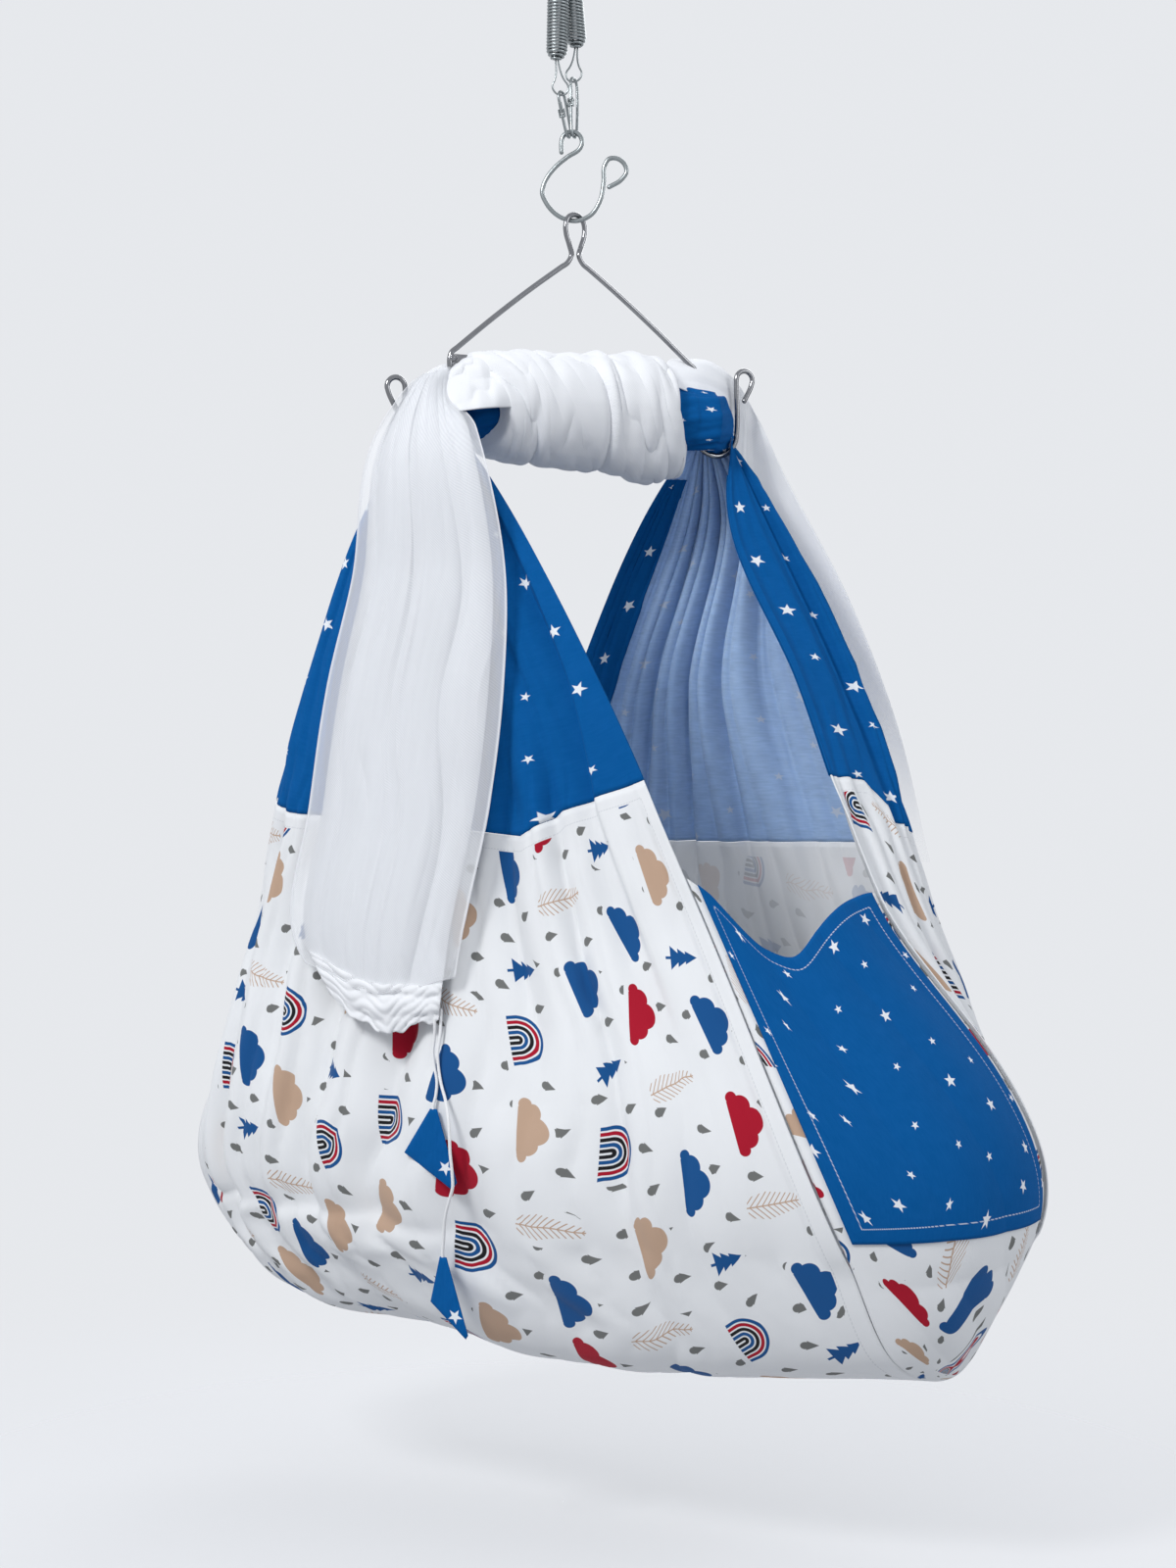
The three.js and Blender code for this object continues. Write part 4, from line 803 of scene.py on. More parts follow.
def recipes():
    """Each material's maker, name and values. A wrong side is paler and lets light through; the star cloth's
    wrong side is painted lighter still, for the light that comes through it inside the cradle.
    """
    c = colours()
    blue, blue_back_painted_lighter, white, net = (tuple(v) for v in (c.blue, c.blue_back_painted_lighter, c.white, c.net))
    inks = {"blue": tuple(c.navy), "black": (0.012, 0.012, 0.014)}
    inks.update({"red": tuple(c.red), "tan": tuple(c.tan), "grey": tuple(c.grey)})
    dull = tuple(x * 0.93 for x in white)
    # Painted light: the single layer is the same net as the folded one, given a tint 8 percent brighter.
    net_painted_brighter = tuple(min(1.0, x * 1.08) for x in net)
    return {
        "zinc": (metal_material, "zinc plated steel", tuple(c.steel), 0.2, 0.12),
        # The chrome's colour carries a painted reflection: it is darkened to stand for dark surroundings.
        "chrome": (metal_material, "chromed steel", tuple(c.chrome), 0.08, 0.05),
        "star": (star_material, "star cotton", blue, STAR_INK, 0.1),
        "star stitched": (star_material, "star cotton stitched", blue, STAR_INK, 0.1, STITCH_INSET),
        "star back": (star_material, "star cotton wrong side", blue_back_painted_lighter, BACK_INK, 0.22, 0.0, BACK_GLOW),
        "print": (print_material, "printed cotton", white, inks, 1.0, STITCH_INSET),
        "print back": (print_material, "printed cotton wrong side", dull, inks, 0.28, 0.0, BACK_GLOW),
        "net": (net_material, "mosquito net folded", net, 0.95),
        "veil": (net_material, "mosquito net single", net_painted_brighter, 0.4),
        "pad": (plain_cotton, "pad cotton", (0.74, 0.73, 0.7), 0.0016),
        "string": (plain_cotton, "cotton string", (0.86, 0.87, 0.88), 0.0028),
    }


def material(key):
    """The scene's materials, each made once."""
    if key not in MATERIALS:
        maker, *values = recipes()[key]
        MATERIALS[key] = maker(*values)
    return MATERIALS[key]


def finish_piece(thing, key, body, slot, *nodes):
    """Gives a piece its material if it has none yet, its body and the nodes that it stands for. Its
    record slot is not used."""
    if key:
        thing.data.materials.clear()
        thing.data.materials.append(material(key))
    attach(thing, body)
    if nodes:
        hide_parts(*nodes)
    return thing


# The sack's surface
GATHER = [[0.27, 0.02], [0.19, -0.05], [0.09, -0.12], [-0.04, -0.14], [-0.15, -0.09]]
BUNDLE = [[0.79, -0.03], [0.38, -0.27], [-0.1, -0.35], [-0.4, -0.25], [-0.21, 0.12]]
SACK = [
    [
        [0.261, -0.698, 0.232], [0.084, -0.781, 0.232], [-0.126, -0.81, 0.232],
        [-0.446, -0.775, 0.232], [-0.404, -0.395, 0.232],
    ],
    [
        [0.484, -0.693, 0.47], [0.19, -0.837, 0.47], [-0.194, -0.856, 0.47],
        [-0.6, -0.698, 0.47], [-0.589, -0.186, 0.47],
    ],
    [
        [0.838, -0.772, 0.841], [0.43, -0.972, 0.841], [-0.26, -0.977, 0.841],
        [-0.68, -0.777, 0.841], [-0.89, -0.386, 0.841],
    ],
    [
        [0.895, -0.52, 0.963], [0.43, -0.72, 0.98], [-0.2, -0.72, 0.978],
        [-0.59, -0.58, 0.948], [-0.848, -0.233, 0.912],
    ],
    [[0.947, -0.093, 0.984], [0.4, 0, 1], [0.076, 0, 0.996], [-0.248, 0, 0.977], [-0.796, 0.093, 0.94]],
]
CENTRES = [0, 0, 0.023, 0.0436, 0.0758, 0.0758, 0.0758]
COLUMNS = 4
ROWS = 12
SEAM = 0.2154 * ROWS
LEFT_SEAM_BENDS = (
    [0, 0.45, 0.8, 1.15, 1.6, 2.7, 3, 4],
    [-0.11, -0.03, 0.03, 0.15, 0.12, 0.05, 0, 0],
)
RIGHT_SEAM_BENDS = ([0, 0.45, 0.75, 1.2, 3.2, 4], [-0.14, -0.12, 0.08, 0.2, 0.2, 0.12])


def sack_rows():
    """The sack's rows of five points, the right side being the left side turned half round."""
    trough = on_hanger(-HOOK_CENTRE, 0, 0)
    gathered = [
        np.array([[trough[0] + x * BUNDLE_WIDTH, trough[1] + y * BUNDLE_WIDTH, level] for x, y in shares])
        for shares, level in ((GATHER, BAND_CENTRE - BAND_RADIUS / 2), (BUNDLE, BUNDLE_TOP))
    ]
    scale = np.array([SACK_HALF_LENGTH, SACK_HALF_WIDTH, -SACK_HEIGHT])
    origin = np.array([HANG_AXIS[0], HANG_AXIS[1], BUNDLE_TOP])
    rows = gathered + [origin + np.array(row) * scale for row in SACK]
    for j in range(len(rows) - 2, -1, -1):
        middle = np.array([HANG_AXIS[0] + CENTRES[j] * SACK_HALF_LENGTH, HANG_AXIS[1], 0])
        rows.append((rows[j] * [-1, -1, 1] + 2 * middle)[::-1])
    return np.array(rows)


SACK_ROWS = sack_rows()


def seam_rows(columns, right):
    """The seam between star cloth and printed cloth: a little higher at the free edges."""
    if right:
        return ROWS - SEAM - np.interp(columns, *RIGHT_SEAM_BENDS)
    return SEAM + np.interp(columns, *LEFT_SEAM_BENDS)


def ridge(phase, power=0.8):
    """Folds with rounded tops and sharp valleys, one to each whole number of the phase; a lower
    power makes the tops flatter and the valleys narrower."""
    return np.abs(np.cos(math.pi * phase)) ** power - 1 / (1 + 0.62 * power)


def star_folds(c, down, right, drift):
    """Ridges that run down from the gathers through the star cloth: broad and fine ones on the
    left side, close ones on the right, each strongest part of the way down."""
    wide, fine = ridge(c * 1.62 + drift), ridge(c * 3.3 + 1.7 * drift + 0.3)
    close = -ridge(c * 2.45 + 0.25 * drift + 0.25) * 0.85 - 0.3 * ridge(c * 5.3 + 0.5 * drift)
    left_side = np.interp(down, [0, 0.6, 1.2, 2.0, 2.6, 3.2, 4.0], [0.25, 0.5, 0.8, 0.9, 0.6, 0.25, 0])
    left_side = left_side * np.interp(c, [0, 0.5, 1.2, 1.9, 3.6, 4], [0, 0.3, 0.5, 1, 1, 0.6])
    right_side = np.interp(
        down, [0, 0.5, 1.0, 1.5, 2.1, 2.7, 3.3, 4], [0.4, 1.0, 1.6, 2.1, 2.2, 1.8, 1.1, 0]
    )
    right_side = right_side * np.interp(c, [0, 0.57, 0.85, 3.1, 3.43, 4], [0.12, 0.12, 1, 1, 0.12, 0.12])
    return np.where(right, right_side * close, left_side * (wide * 0.72 + fine * 0.28))


def print_folds(c, down, right, drift):
    """Creases in the printed cloth: large ones whose phase wavers, and small ones between them."""
    creased = np.interp(down, [0, 2.3, 2.8, 3.8, 4.1, 4.6, 5.4, 6], [0, 0.2, 1.0, 1.0, 0.8, 0.45, 0.15, 0])
    right_side = np.interp(c, [0, 1, 4], [0.6, 0.5, 0.7])
    left_side = np.interp(c, [0, 0.6, 1.0, 1.5, 4], [0.1, 0.25, 0.8, 1, 1])
    creased = creased * np.where(right, right_side, left_side)
    strong = 0.65 + 0.35 * ripple(c * 2.6 + 1.2 * down, 2.9)
    waver = 0.13 * np.sin(2 * math.pi * (c * 2.5 + 2 * drift))
    large = ridge(c * 2.5 + waver + 2 * drift, 0.55)
    small = ridge(c * 5.7 + 2.6 * drift + 0.2 * ripple(down * 3, 0.2), 0.6)
    return creased * ((large - 0.2) * strong + (small - 0.1) * 0.25)


def edge_pleat(c, down, right):
    """The pleat along the near edge of the left side: a rise up to its line, then a step down
    that fades out, in metres."""
    strength = np.interp(down, [0, 0.9, 1.6, 2.6, 3.0, 3.5], [0, 0.3, 0.8, 1.25, 1.2, 0]) * ~right
    line = np.interp(down, [0, 1.2, 2.0, 2.6, 3.4], [0.2, 0.24, 0.36, 0.5, 0.42])
    rise = 0.006 * ease(c, line - 0.3, line - 0.05)
    step = 0.0125 * ease(c, line - 0.03, line + 0.03) * (1 - 0.8 * ease(c, line, line + 0.55))
    return strength * (rise - step)


def bottom_tuck(c, down):
    """The tuck where the side meets the bottom: a narrow bell across it, in metres."""
    off = (down - 4.02 - 0.04 * ripple(c * 2, 0.5)) / 0.07
    bell = np.exp(-(off**2)) * ease(c, 1.2, 2.2) * ease(4 - c, 0, 0.5)
    return 0.007 * bell * (1 - 0.4 * np.abs(ripple(c * 2.3, 0.7)))


def fold_depth(c, r):
    """How far the folds stand out from the smooth sack, in metres. They fade at the free edges,
    where a narrow strip of the printed cloth is turned over."""
    right = r > ROWS / 2
    down = np.where(right, ROWS - r, r)
    drift = 0.16 * ripple(down * 0.8, 1.3) + 0.12 * ripple(c * 1.1, 2.1)
    drift = drift + 0.05 * ripple(down * 2.7 + c, 0.4)
    depth = sizes().fold * star_folds(c, down, right, drift)
    depth = depth + sizes().crease * print_folds(c, down, right, drift)
    depth = depth + edge_pleat(c, down, right) - bottom_tuck(c, down)
    edge = ease(c, 0, 0.08) * ease(COLUMNS - c, 0, 0.12)
    turned_edge = 0.0045 * (1 - ease(c, 0.1, 0.13)) * ease(down, 2.4, 2.7) * ease(down, 4.2, 3.9)
    return depth * edge + turned_edge


def settled(points):
    """Small corrections of the smooth sack: the lower left edge hangs a little higher and the
    near end is a little slimmer, each a bell over the distance across and a step over height."""
    across, back = points @ SIDE, points @ AWAY
    down = (BUNDLE_TOP - points[..., 2]) / SACK_HEIGHT
    bell = np.exp(-(((across + 0.2) / 0.13) ** 2)) * ease(-back, -0.05, 0.08)
    lift = 0.030 * bell * ease(down, 0.86, 0.96)
    slim = 0.020 * ease(across, 0.3, 0.46) * ease(down, 0.55, 0.85)
    return points + lift[..., None] * UP - slim[..., None] * SIDE


def sack_points(columns, rows):
    """The sack at columns and rows as a grid of points, and its outward normals. Rows are one
    list for all columns, or one for each."""
    rows = np.asarray(rows, float)
    if rows.ndim == 1:
        rows = np.broadcast_to(rows[:, None], (len(rows), len(columns)))
    levels = np.swapaxes(curve_through(np.swapaxes(SACK_ROWS, 0, 1), columns), 0, 1)
    smooth = settled(curve_through(levels, rows))
    normals = normals_of(smooth)
    points = smooth + normals * fold_depth(np.broadcast_to(columns, rows.shape), rows)[..., None]
    return points, normals_of(points)


def edge_distance(u, v, width, height):
    """How far a point of a sheet lies from the nearest edge."""
    return np.minimum(np.minimum(u, width - u), np.minimum(v, height - v))


def sack_piece(name, columns, first, last, count, depth, outside, inside, thickness, seams=False):
    """A stretch of the sack between two rows, which may bend with the columns, as a thin sheet at
    a depth inside the surface. hem says how far a point lies from a sewn or free edge, in metres."""
    first, last = first + 0 * columns, last + 0 * columns
    rows = first + (last - first) * np.linspace(0, 1, count)[:, None]
    points, normals = sack_points(columns, rows)
    u, v = run_lengths(points)
    u = u.mean(0, keepdims=True) + 0 * u
    hem = edge_distance(u, v, u.max(), v.max(0)) if seams else np.full(u.shape, 1.0)
    uv = np.stack([v, -u], -1)
    return cloth_object(name, points - normals * depth, uv, {"hem": hem}, outside, inside, thickness)


# Operators: metalwork


class CRADLE_OT_link(bpy.types.Operator):
    """The closed link that the ceiling hook bears in: a rounded rectangle of round wire"""

    bl_idname = "cradle.link"
    bl_label = "Hang link"

    def execute(self, context):
        half = (LINK_INNER_HEIGHT + LINK_WIRE) / 2
        middle = LINK_BOTTOM + half
        runs = []
        for number, (sx, sz) in enumerate([(1, 1), (-1, 1), (-1, -1), (1, -1)]):
            bend = arc(LINK_CORNER, 90 * number, 90 * number + 90, 10)
            runs.append(bend + [sx * (LINK_HALF_WIDTH - LINK_CORNER), sz * (half - LINK_CORNER)])
        flat = np.concatenate(runs)
        path = placed(flat[:, 0], LINK_RUN, 0 * flat[:, 0], LINK_NORMAL, middle + flat[:, 1])
        link = tube("hang_link_wire", path, LINK_WIRE / 2, 24, LINK_NORMAL, closed=True)
        finish_piece(link, "zinc", "link", "zinc", "hang_link")
        return {"FINISHED"}


class CRADLE_OT_springs(bpy.types.Operator):
    """Two extension springs of close-wound wire with tapered ends, and the wire eyes in their ends"""

    bl_idname = "cradle.springs"
    bl_label = "Springs and eyes"

    def coil(self, name, top, bottom, node):
        """A helix between two points: the radius rises as a quarter sine over the taper turns."""
        turn = np.linspace(0, COIL_TURNS, COIL_TURNS * 36 + 1)
        nearest = np.clip(np.minimum(turn, COIL_TURNS - turn) / COIL_TAPER_TURNS, 0, 1)
        radius = COIL_MOUTH + (COIL_RADIUS - COIL_MOUTH) * np.sin(math.pi / 2 * nearest)
        angle = 2 * math.pi * turn
        radial = np.stack([np.cos(angle), np.sin(angle), 0 * angle], -1)
        path = top + (bottom - top) * (turn / COIL_TURNS)[:, None] + radial * radius[:, None]
        wire = sizes().coil_wire / 2
        longer, radii = rounded(path, wire)
        tangent = unit(np.gradient(longer, axis=0))
        ends = np.concatenate([np.repeat(radial[:1], 4, 0), radial, np.repeat(radial[-1:], 4, 0)])
        first = unit(ends - (ends * tangent).sum(-1, keepdims=True) * tangent)
        second = np.cross(tangent, first)
        points = rings_round(longer, radii[:, None, None], first, second, 12)
        faces = capped_faces(len(points), 12)
        spring = make_object(name, points, faces)
        spring.data.materials.append(material("zinc"))
        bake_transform(spring)
        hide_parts(node)

    def eye(self, name, mouth, centre, body, node):
        """Two feet inside the coil, two legs through its mouth, and a round eye of wire."""
        reach = mouth - centre
        length = np.linalg.norm(reach)
        outward = reach / length
        neck = EYELET_WIRE / 2 + FIT
        ring = arc(EYELET_RADIUS, -220, 40, 25)
        flat = [[-0.005, length + 0.009], [-neck, length + EYELET_WIRE], [-neck, length - EYELET_WIRE]]
        flat += ring.tolist()
        flat += [[neck, length - EYELET_WIRE], [neck, length + EYELET_WIRE], [0.005, length + 0.009]]
        flat = np.array(flat)
        points = centre + flat[:, :1] * SIDE + flat[:, 1:] * outward
        piece = tube(name, smooth_path(points, 160), EYELET_WIRE / 2, 12, np.cross(SIDE, outward))
        finish_piece(piece, "zinc", body, "zinc", node)

    def execute(self, context):
        wire = 0.0024
        left_top = LINK_RUN * (-SPRING_SPACING / 2) + UP * LEFT_COIL_TOP
        right_top = LINK_RUN * (SPRING_SPACING / 2) + UP * RIGHT_COIL_TOP
        left_bottom = beside(-0.0067, -COIL_RADIUS - wire / 2, LEFT_COIL_TOP - COIL_LENGTH)
        right_bottom = beside(0.0132, COIL_RADIUS + wire / 2, RIGHT_COIL_TOP - COIL_LENGTH)
        self.coil("left_spring_coil", left_top, left_bottom, "left_spring")
        self.coil("right_spring_coil", right_top, right_bottom, "right_spring")
        left_level = beside(-0.003, -COIL_RADIUS, LEFT_EYELET)
        right_level = beside(LINE_LEAN - 0.0015, COIL_RADIUS, RIGHT_EYELET)
        eyes = (
            ("left_top", left_top, left_top * [1, 1, 0] + UP * TOP_EYELET, "springs"),
            ("right_top", right_top, right_top * [1, 1, 0] + UP * TOP_EYELET, "springs"),
            ("left_bottom", left_bottom, left_level, "hooks"),
            ("right_bottom", right_bottom, right_level, "hooks"),
        )
        for name, mouth, centre, body in eyes:
            side, end = name.split("_")
            self.eye(f"{name}_eye", mouth, centre, body, f"{side}_spring_{end}_loop")
        return {"FINISHED"}


class CRADLE_OT_snap_hooks(bpy.types.Operator):
    """Two snap hooks of bent wire, each with a pinned gate"""

    bl_idname = "cradle.snap_hooks"
    bl_label = "Snap hooks"

    def hook(self, name, gate_name, top, bottom, nodes, gate_body):
        """Half circles top and bottom, a straight back, and an open side that the gate shuts."""
        upward = unit(top - bottom)
        across = direction(98)
        across = unit(across - across.dot(upward) * upward)
        normal = np.cross(across, upward)
        length = np.linalg.norm(top - bottom)
        top_centre, bottom_centre = -SNAP_TOP_RADIUS, -length + SNAP_BOTTOM_RADIUS
        hinge_y = -length * 0.42
        share = (top_centre - hinge_y) / (top_centre - bottom_centre)
        hinge_x = -(SNAP_TOP_RADIUS + (SNAP_BOTTOM_RADIUS - SNAP_TOP_RADIUS) * share)
        nose = top_centre - SNAP_WIRE / 2
        flat = np.concatenate([
            [[hinge_x, hinge_y - SNAP_WIRE], [hinge_x, hinge_y - 2 * SNAP_WIRE]],
            arc(SNAP_BOTTOM_RADIUS, 180, 360, 17) + [0, bottom_centre],
            arc(SNAP_TOP_RADIUS, 0, 180, 17) + [0, top_centre],
            [[-SNAP_TOP_RADIUS, nose]],
        ])
        def place(x, y, z=0.0):
            return top + x * across + y * upward + z * normal

        def pin(reach, count, radius):
            """A round bar through the hinge, as long as twice its reach."""
            line = np.array([place(hinge_x, hinge_y, z) for z in np.linspace(-reach, reach, count)])
            return tube("pin", line, radius, 16, upward)

        path = np.array([place(x, y) for x, y in flat])
        body = tube(name, smooth_path(path, 190), SNAP_WIRE / 2 - 0.00025, 16, normal)
        axes = [across, upward, normal]
        gate_width, ear = 0.0032, 0.0012
        distance = gate_width / 2 + FIT + ear / 2
        parts = [body]
        for sign in (-1, 1):
            middle = place(hinge_x, hinge_y - SNAP_WIRE / 2, sign * distance)
            parts.append(block("ear", (SNAP_WIRE, 0.009, ear), middle, axes))
        middle = place(hinge_x, hinge_y - 0.005)
        parts.append(block("bridge", (SNAP_WIRE, 0.0018, 2 * distance), middle, axes))
        parts.append(pin(distance + 0.0006, 8, 0.0008))
        finish_piece(joined(name, parts), "zinc", "hooks", "zinc", nodes[0])
        gate_top = nose - FIT
        middle = (gate_top + hinge_y - gate_width / 2) / 2
        height = gate_top - hinge_y + gate_width / 2
        size = (gate_width, height, gate_width)
        gate = block(gate_name, size, place(hinge_x, middle), axes, 0.0007)
        hole = pin(0.004, 6, 0.00115)
        apply_modifier(gate, "BOOLEAN", object=hole, operation="DIFFERENCE", solver="EXACT")
        bpy.data.objects.remove(hole)
        finish_piece(gate, "zinc", gate_body, "zinc", nodes[1])

    def execute(self, context):
        left_top = beside(-0.003, -COIL_RADIUS, LEFT_SNAP_TOP)
        right_top = beside(LINE_LEAN - 0.0015, COIL_RADIUS, RIGHT_SNAP_TOP)
        left_end = beside(S_LOOP_ACROSS - SNAP_OFFSET, 0.0008, SNAP_BOTTOM)
        right_end = beside(S_LOOP_ACROSS + SNAP_OFFSET, -0.0008, SNAP_BOTTOM)
        for side, top, end in (("left", left_top, left_end), ("right", right_top, right_end)):
            nodes = (f"{side}_snap_hook", f"{side}_snap_gate")
            self.hook(f"{side}_snap_wire", f"{side}_gate_bar", top, end, nodes, f"{side}_gate")
        return {"FINISHED"}


S_HOOK = [
    [-0.055, -0.19], [-0.215, -0.325], [-0.355, -0.54], [-0.375, -0.64], [-0.32, -0.78], [-0.155, -0.945],
    [0.045, -1], [0.24, -0.925], [0.36, -0.74], [0.405, -0.5], [0.42, -0.29], [0.47, -0.215], [0.555, -0.205],
    [0.66, -0.27], [0.695, -0.37], [0.63, -0.475], [0.475, -0.57],
]


class CRADLE_OT_s_hook(bpy.types.Operator):
    """The S-hook: a round top loop, a slanted run, a wide cup and a curled safety tip"""

    bl_idname = "cradle.s_hook"
    bl_label = "S-hook"

    def execute(self, context):
        loop = arc(S_HOOK_LOOP, 180, -36, 12)
        shares = np.array(S_HOOK) * S_HOOK_DROP
        flat = np.concatenate([[[-S_HOOK_LOOP, -S_HOOK_LOOP]], loop, shares])
        path = beside(S_LOOP_ACROSS + flat[:, 0], 0 * flat[:, 0], S_CENTRE + flat[:, 1])
        hook = tube("s_hook_wire", smooth_path(path, 320), S_HOOK_WIRE / 2, 24, AWAY)
        finish_piece(hook, "zinc", "s_hook", "zinc", "s_hook")
        return {"FINISHED"}


class CRADLE_OT_hanger(bpy.types.Operator):
    """The wire hanger: eye, arms, shanks and J-hooks bent from one rod, and the welded crossbar"""

    bl_idname = "cradle.hanger"
    bl_label = "Wire hanger"

    def half(self, sign, rise):
        """One side of the rod, from the curled tip to the neck."""
        radius = HOOK_WIDTH / 2
        riser = SHANK + HOOK_WIDTH
        bend = arc(radius, 180, 360, 13)
        points = [on_hanger(sign * (HOOK_CENTRE + x), 0, TROUGH + radius + y) for x, y in bend]
        tip, curl = TROUGH + rise, 0.0095
        points.append(on_hanger(sign * riser, 0, tip - 1.5 * curl))
        points += [on_hanger(sign * (riser + curl + x), 0, tip - curl + y) for x, y in arc(curl, 180, -27, 9)]
        points.append(on_hanger(sign * (riser + curl), 0, tip - 3.3 * curl))
        points.reverse()
        bend = 2 * ROD
        points.append(on_hanger(sign * SHANK, 0, BAR_LEVEL - bend))
        points.append(on_hanger(sign * SHANK, 0, BAR_LEVEL))
        points.append(on_hanger(sign * (SHANK - ROD / 3), 0, BAR_LEVEL + bend / 2))
        points.append(on_hanger(sign * (SHANK - 1.5 * ROD), 0, BAR_LEVEL + bend))
        neck, foot = ROD / 2 + FIT, EYE_TOP - NECK_DROP
        low, high = np.array([SHANK - 1.5 * ROD, BAR_LEVEL + bend]), np.array([neck + ROD, foot - ROD])
        for share in (0.06, 0.3, 0.7, 0.94):
            along, up = low + (high - low) * share
            points.append(on_hanger(sign * along, 0, up + 0.0025 * math.sin(math.pi * share)))
        points.append(on_hanger(sign * (neck + ROD), 0, foot - ROD))
        points.append(on_hanger(sign * (neck + ROD / 5), 0, foot + ROD / 2))
        return points

    def execute(self, context):
        shape = [
            [-0.6, 0.73], [-0.93, 0.48], [-1, 0.3], [-0.74, 0.09], [0, 0],
            [0.74, 0.09], [1, 0.3], [0.93, 0.48], [0.6, 0.73],
        ]
        wide, deep = EYE_HALF_WIDTH * EYE_SIDE, NECK_DROP * UP
        middle = [HANG_AXIS + x * wide + EYE_TOP * UP - y * deep for x, y in shape]
        path = np.array(self.half(-1, 0.061) + middle + self.half(1, 0.091)[::-1])
        rod = tube("hanger_wire", smooth_path(path, 900), ROD / 2, 20, BAR_NORMAL)
        finish_piece(rod, "chrome", "cradle", "chrome", "hanger_rod")
        length = 2 * (SHANK - ROD / 2 - FIT)
        bar = block("bar", (length, 0.0026, 0.008), on_hanger(0, 0, BAR_LEVEL), [BAR, BAR_NORMAL, UP], 0.0006)
        parts = [bar, self.bead(-1), self.bead(1)]
        finish_piece(joined("crossbar_flat", parts), "chrome", "cradle", "chrome", "crossbar")
        return {"FINISHED"}

    def bead(self, sign):
        """A weld bead: a ball with shallow rings, longer along the bar."""
        around = np.linspace(0, 2 * math.pi, 24, endpoint=False)
        theta, phi = np.meshgrid(around, np.linspace(0.12, math.pi - 0.12, 16))
        radius = 0.0042 * (1 + 0.07 * np.sin(9 * phi) + 0.05 * np.sin(3 * theta + 1))
        x = radius * np.sin(phi) * np.cos(theta) * 1.15
        y = radius * np.sin(phi) * np.sin(theta)
        z = radius * np.cos(phi)
        centre = on_hanger(sign * (SHANK - ROD / 2), 0, BAR_LEVEL)
        points = centre + x[..., None] * BAR + y[..., None] * BAR_NORMAL + z[..., None] * UP
        return make_object("bead", points, capped_faces(16, 24, True))


# Operators: the cords, first among the soft pieces

SHORT_STRING = [
    [-133.5, -175.5, -645], [-134, -175.5, -655], [-134, -174, -663], [-134.5, -173, -671],
    [-135.8, -173, -684], [-134, -176, -698], [-131.6, -180, -710], [-132.5, -183, -724],
    [-135, -184, -736],
]
LONG_STRING = [
    [-128, -174.5, -643], [-128.2, -175, -654], [-128.5, -176, -663], [-129.5, -177, -672],
    [-131, -178, -684], [-130, -180, -698], [-127.5, -185, -712], [-123, -192, -727],
    [-120, -200, -742], [-118.6, -204, -758], [-117.8, -205, -776], [-116, -205, -794],
    [-115.6, -203, -810], [-119, -199, -822], [-122, -194, -834], [-124, -189, -846],
    [-125, -184, -862], [-126, -181, -878],
]
TASSELS = [
    [[-0.04, 0], [0.05, 0], [0.31, 0.9], [0.25, 1], [-0.38, 0.58]],
    [[-0.04, 0], [0.05, 0], [0.33, 0.95], [0.3, 1.0], [-0.16, 0.58]],
]


class CRADLE_OT_drawstrings(bpy.types.Operator):
    """The two ends of the net's drawstring, each with a folded tassel of star cloth"""

    bl_idname = "cradle.drawstrings"
    bl_label = "Drawstrings and tassels"

    def tassel(self, name, end, shares, node):
        """A folded triangle: its outline shrinks in five layers towards both faces, so it is
        thick in the middle and thin at the sewn edges."""
        outline = np.array(shares)
        steps = np.linspace(0, 1, 12, endpoint=False)[:, None]
        following = np.roll(outline, -1, axis=0)
        dense = np.concatenate([a + (b - a) * steps for a, b in zip(outline, following)])
        centre = dense.mean(0)
        layers = np.array([[0.0, 1.0], [0.55, 0.99], [0.85, 0.93], [1.0, 0.78], [1.02, 0.4], [1.03, 0.02]])
        rings, flats = [], []
        for depth, share in np.concatenate([layers[::-1] * [-1, 1], layers[1:]]):
            flat = centre + (dense - centre) * share
            flats.append(flat * TASSEL_HEIGHT + [0.018, -0.031])
            bulge = depth * 0.0028 * (1 + 0.25 * ripple(flat[:, 0] * 9 + flat[:, 1] * 5, 0.4))
            place = end + flat[:, :1] * TASSEL_HEIGHT * (SIDE - 0.68 * AWAY) + bulge[:, None] * AWAY
            rings.append(place - (flat[:, 1:] * TASSEL_HEIGHT + 0.00075) * UP)
        points = np.array(rings)
        faces = capped_faces(len(rings), 60, True)
        piece = make_object(name, points, faces, np.array(flats), {"hem": np.full(points.shape[:2], 1.0)})
        return finish_piece(piece, "star", "cradle", "star_cloth", node)

    def execute(self, context):
        sets = (("short", SHORT_STRING, TASSELS[0]), ("long", LONG_STRING, TASSELS[1]))
        for name, string, shares in sets:
            flat = np.array(string) / 1000
            path = beside(flat[:, 0] + LINE_LEAN, flat[:, 1], flat[:, 2] + BAR_LEVEL)
            sewn_in = path[-1] + np.array([[0.011], [0.024]]) * unit(0.2 * (SIDE - 0.68 * AWAY) - UP)
            dense = smooth_path(np.concatenate([path, sewn_in]), 12 * len(path))
            cord = tube(f"{name}_string", dense, sizes().string / 2, 12, AWAY)
            finish_piece(cord, "string", "cradle", "net", f"{name}_drawstring")
            tassel = self.tassel(f"{name}_tassel_cloth", path[-1], shares, f"{name}_tassel")
        return {"FINISHED"}


# Operators: cloth

BAND = [
    [0, 0, 1, 1], [0.5, 0.05, 1, 1], [0.7, 0.25, 0.95, 0.98],
    [0.8, 0.6, 0.62, 0.93], [0.875, 0.72, 0.58, 0.9], [0.93, 0.3, 0.75, 0.9],
    [1, -0.12, 0.85, 0.93], [1.07, -0.45, 0.84, 0.94], [1.118, -0.55, 0.66, 0.78],
]


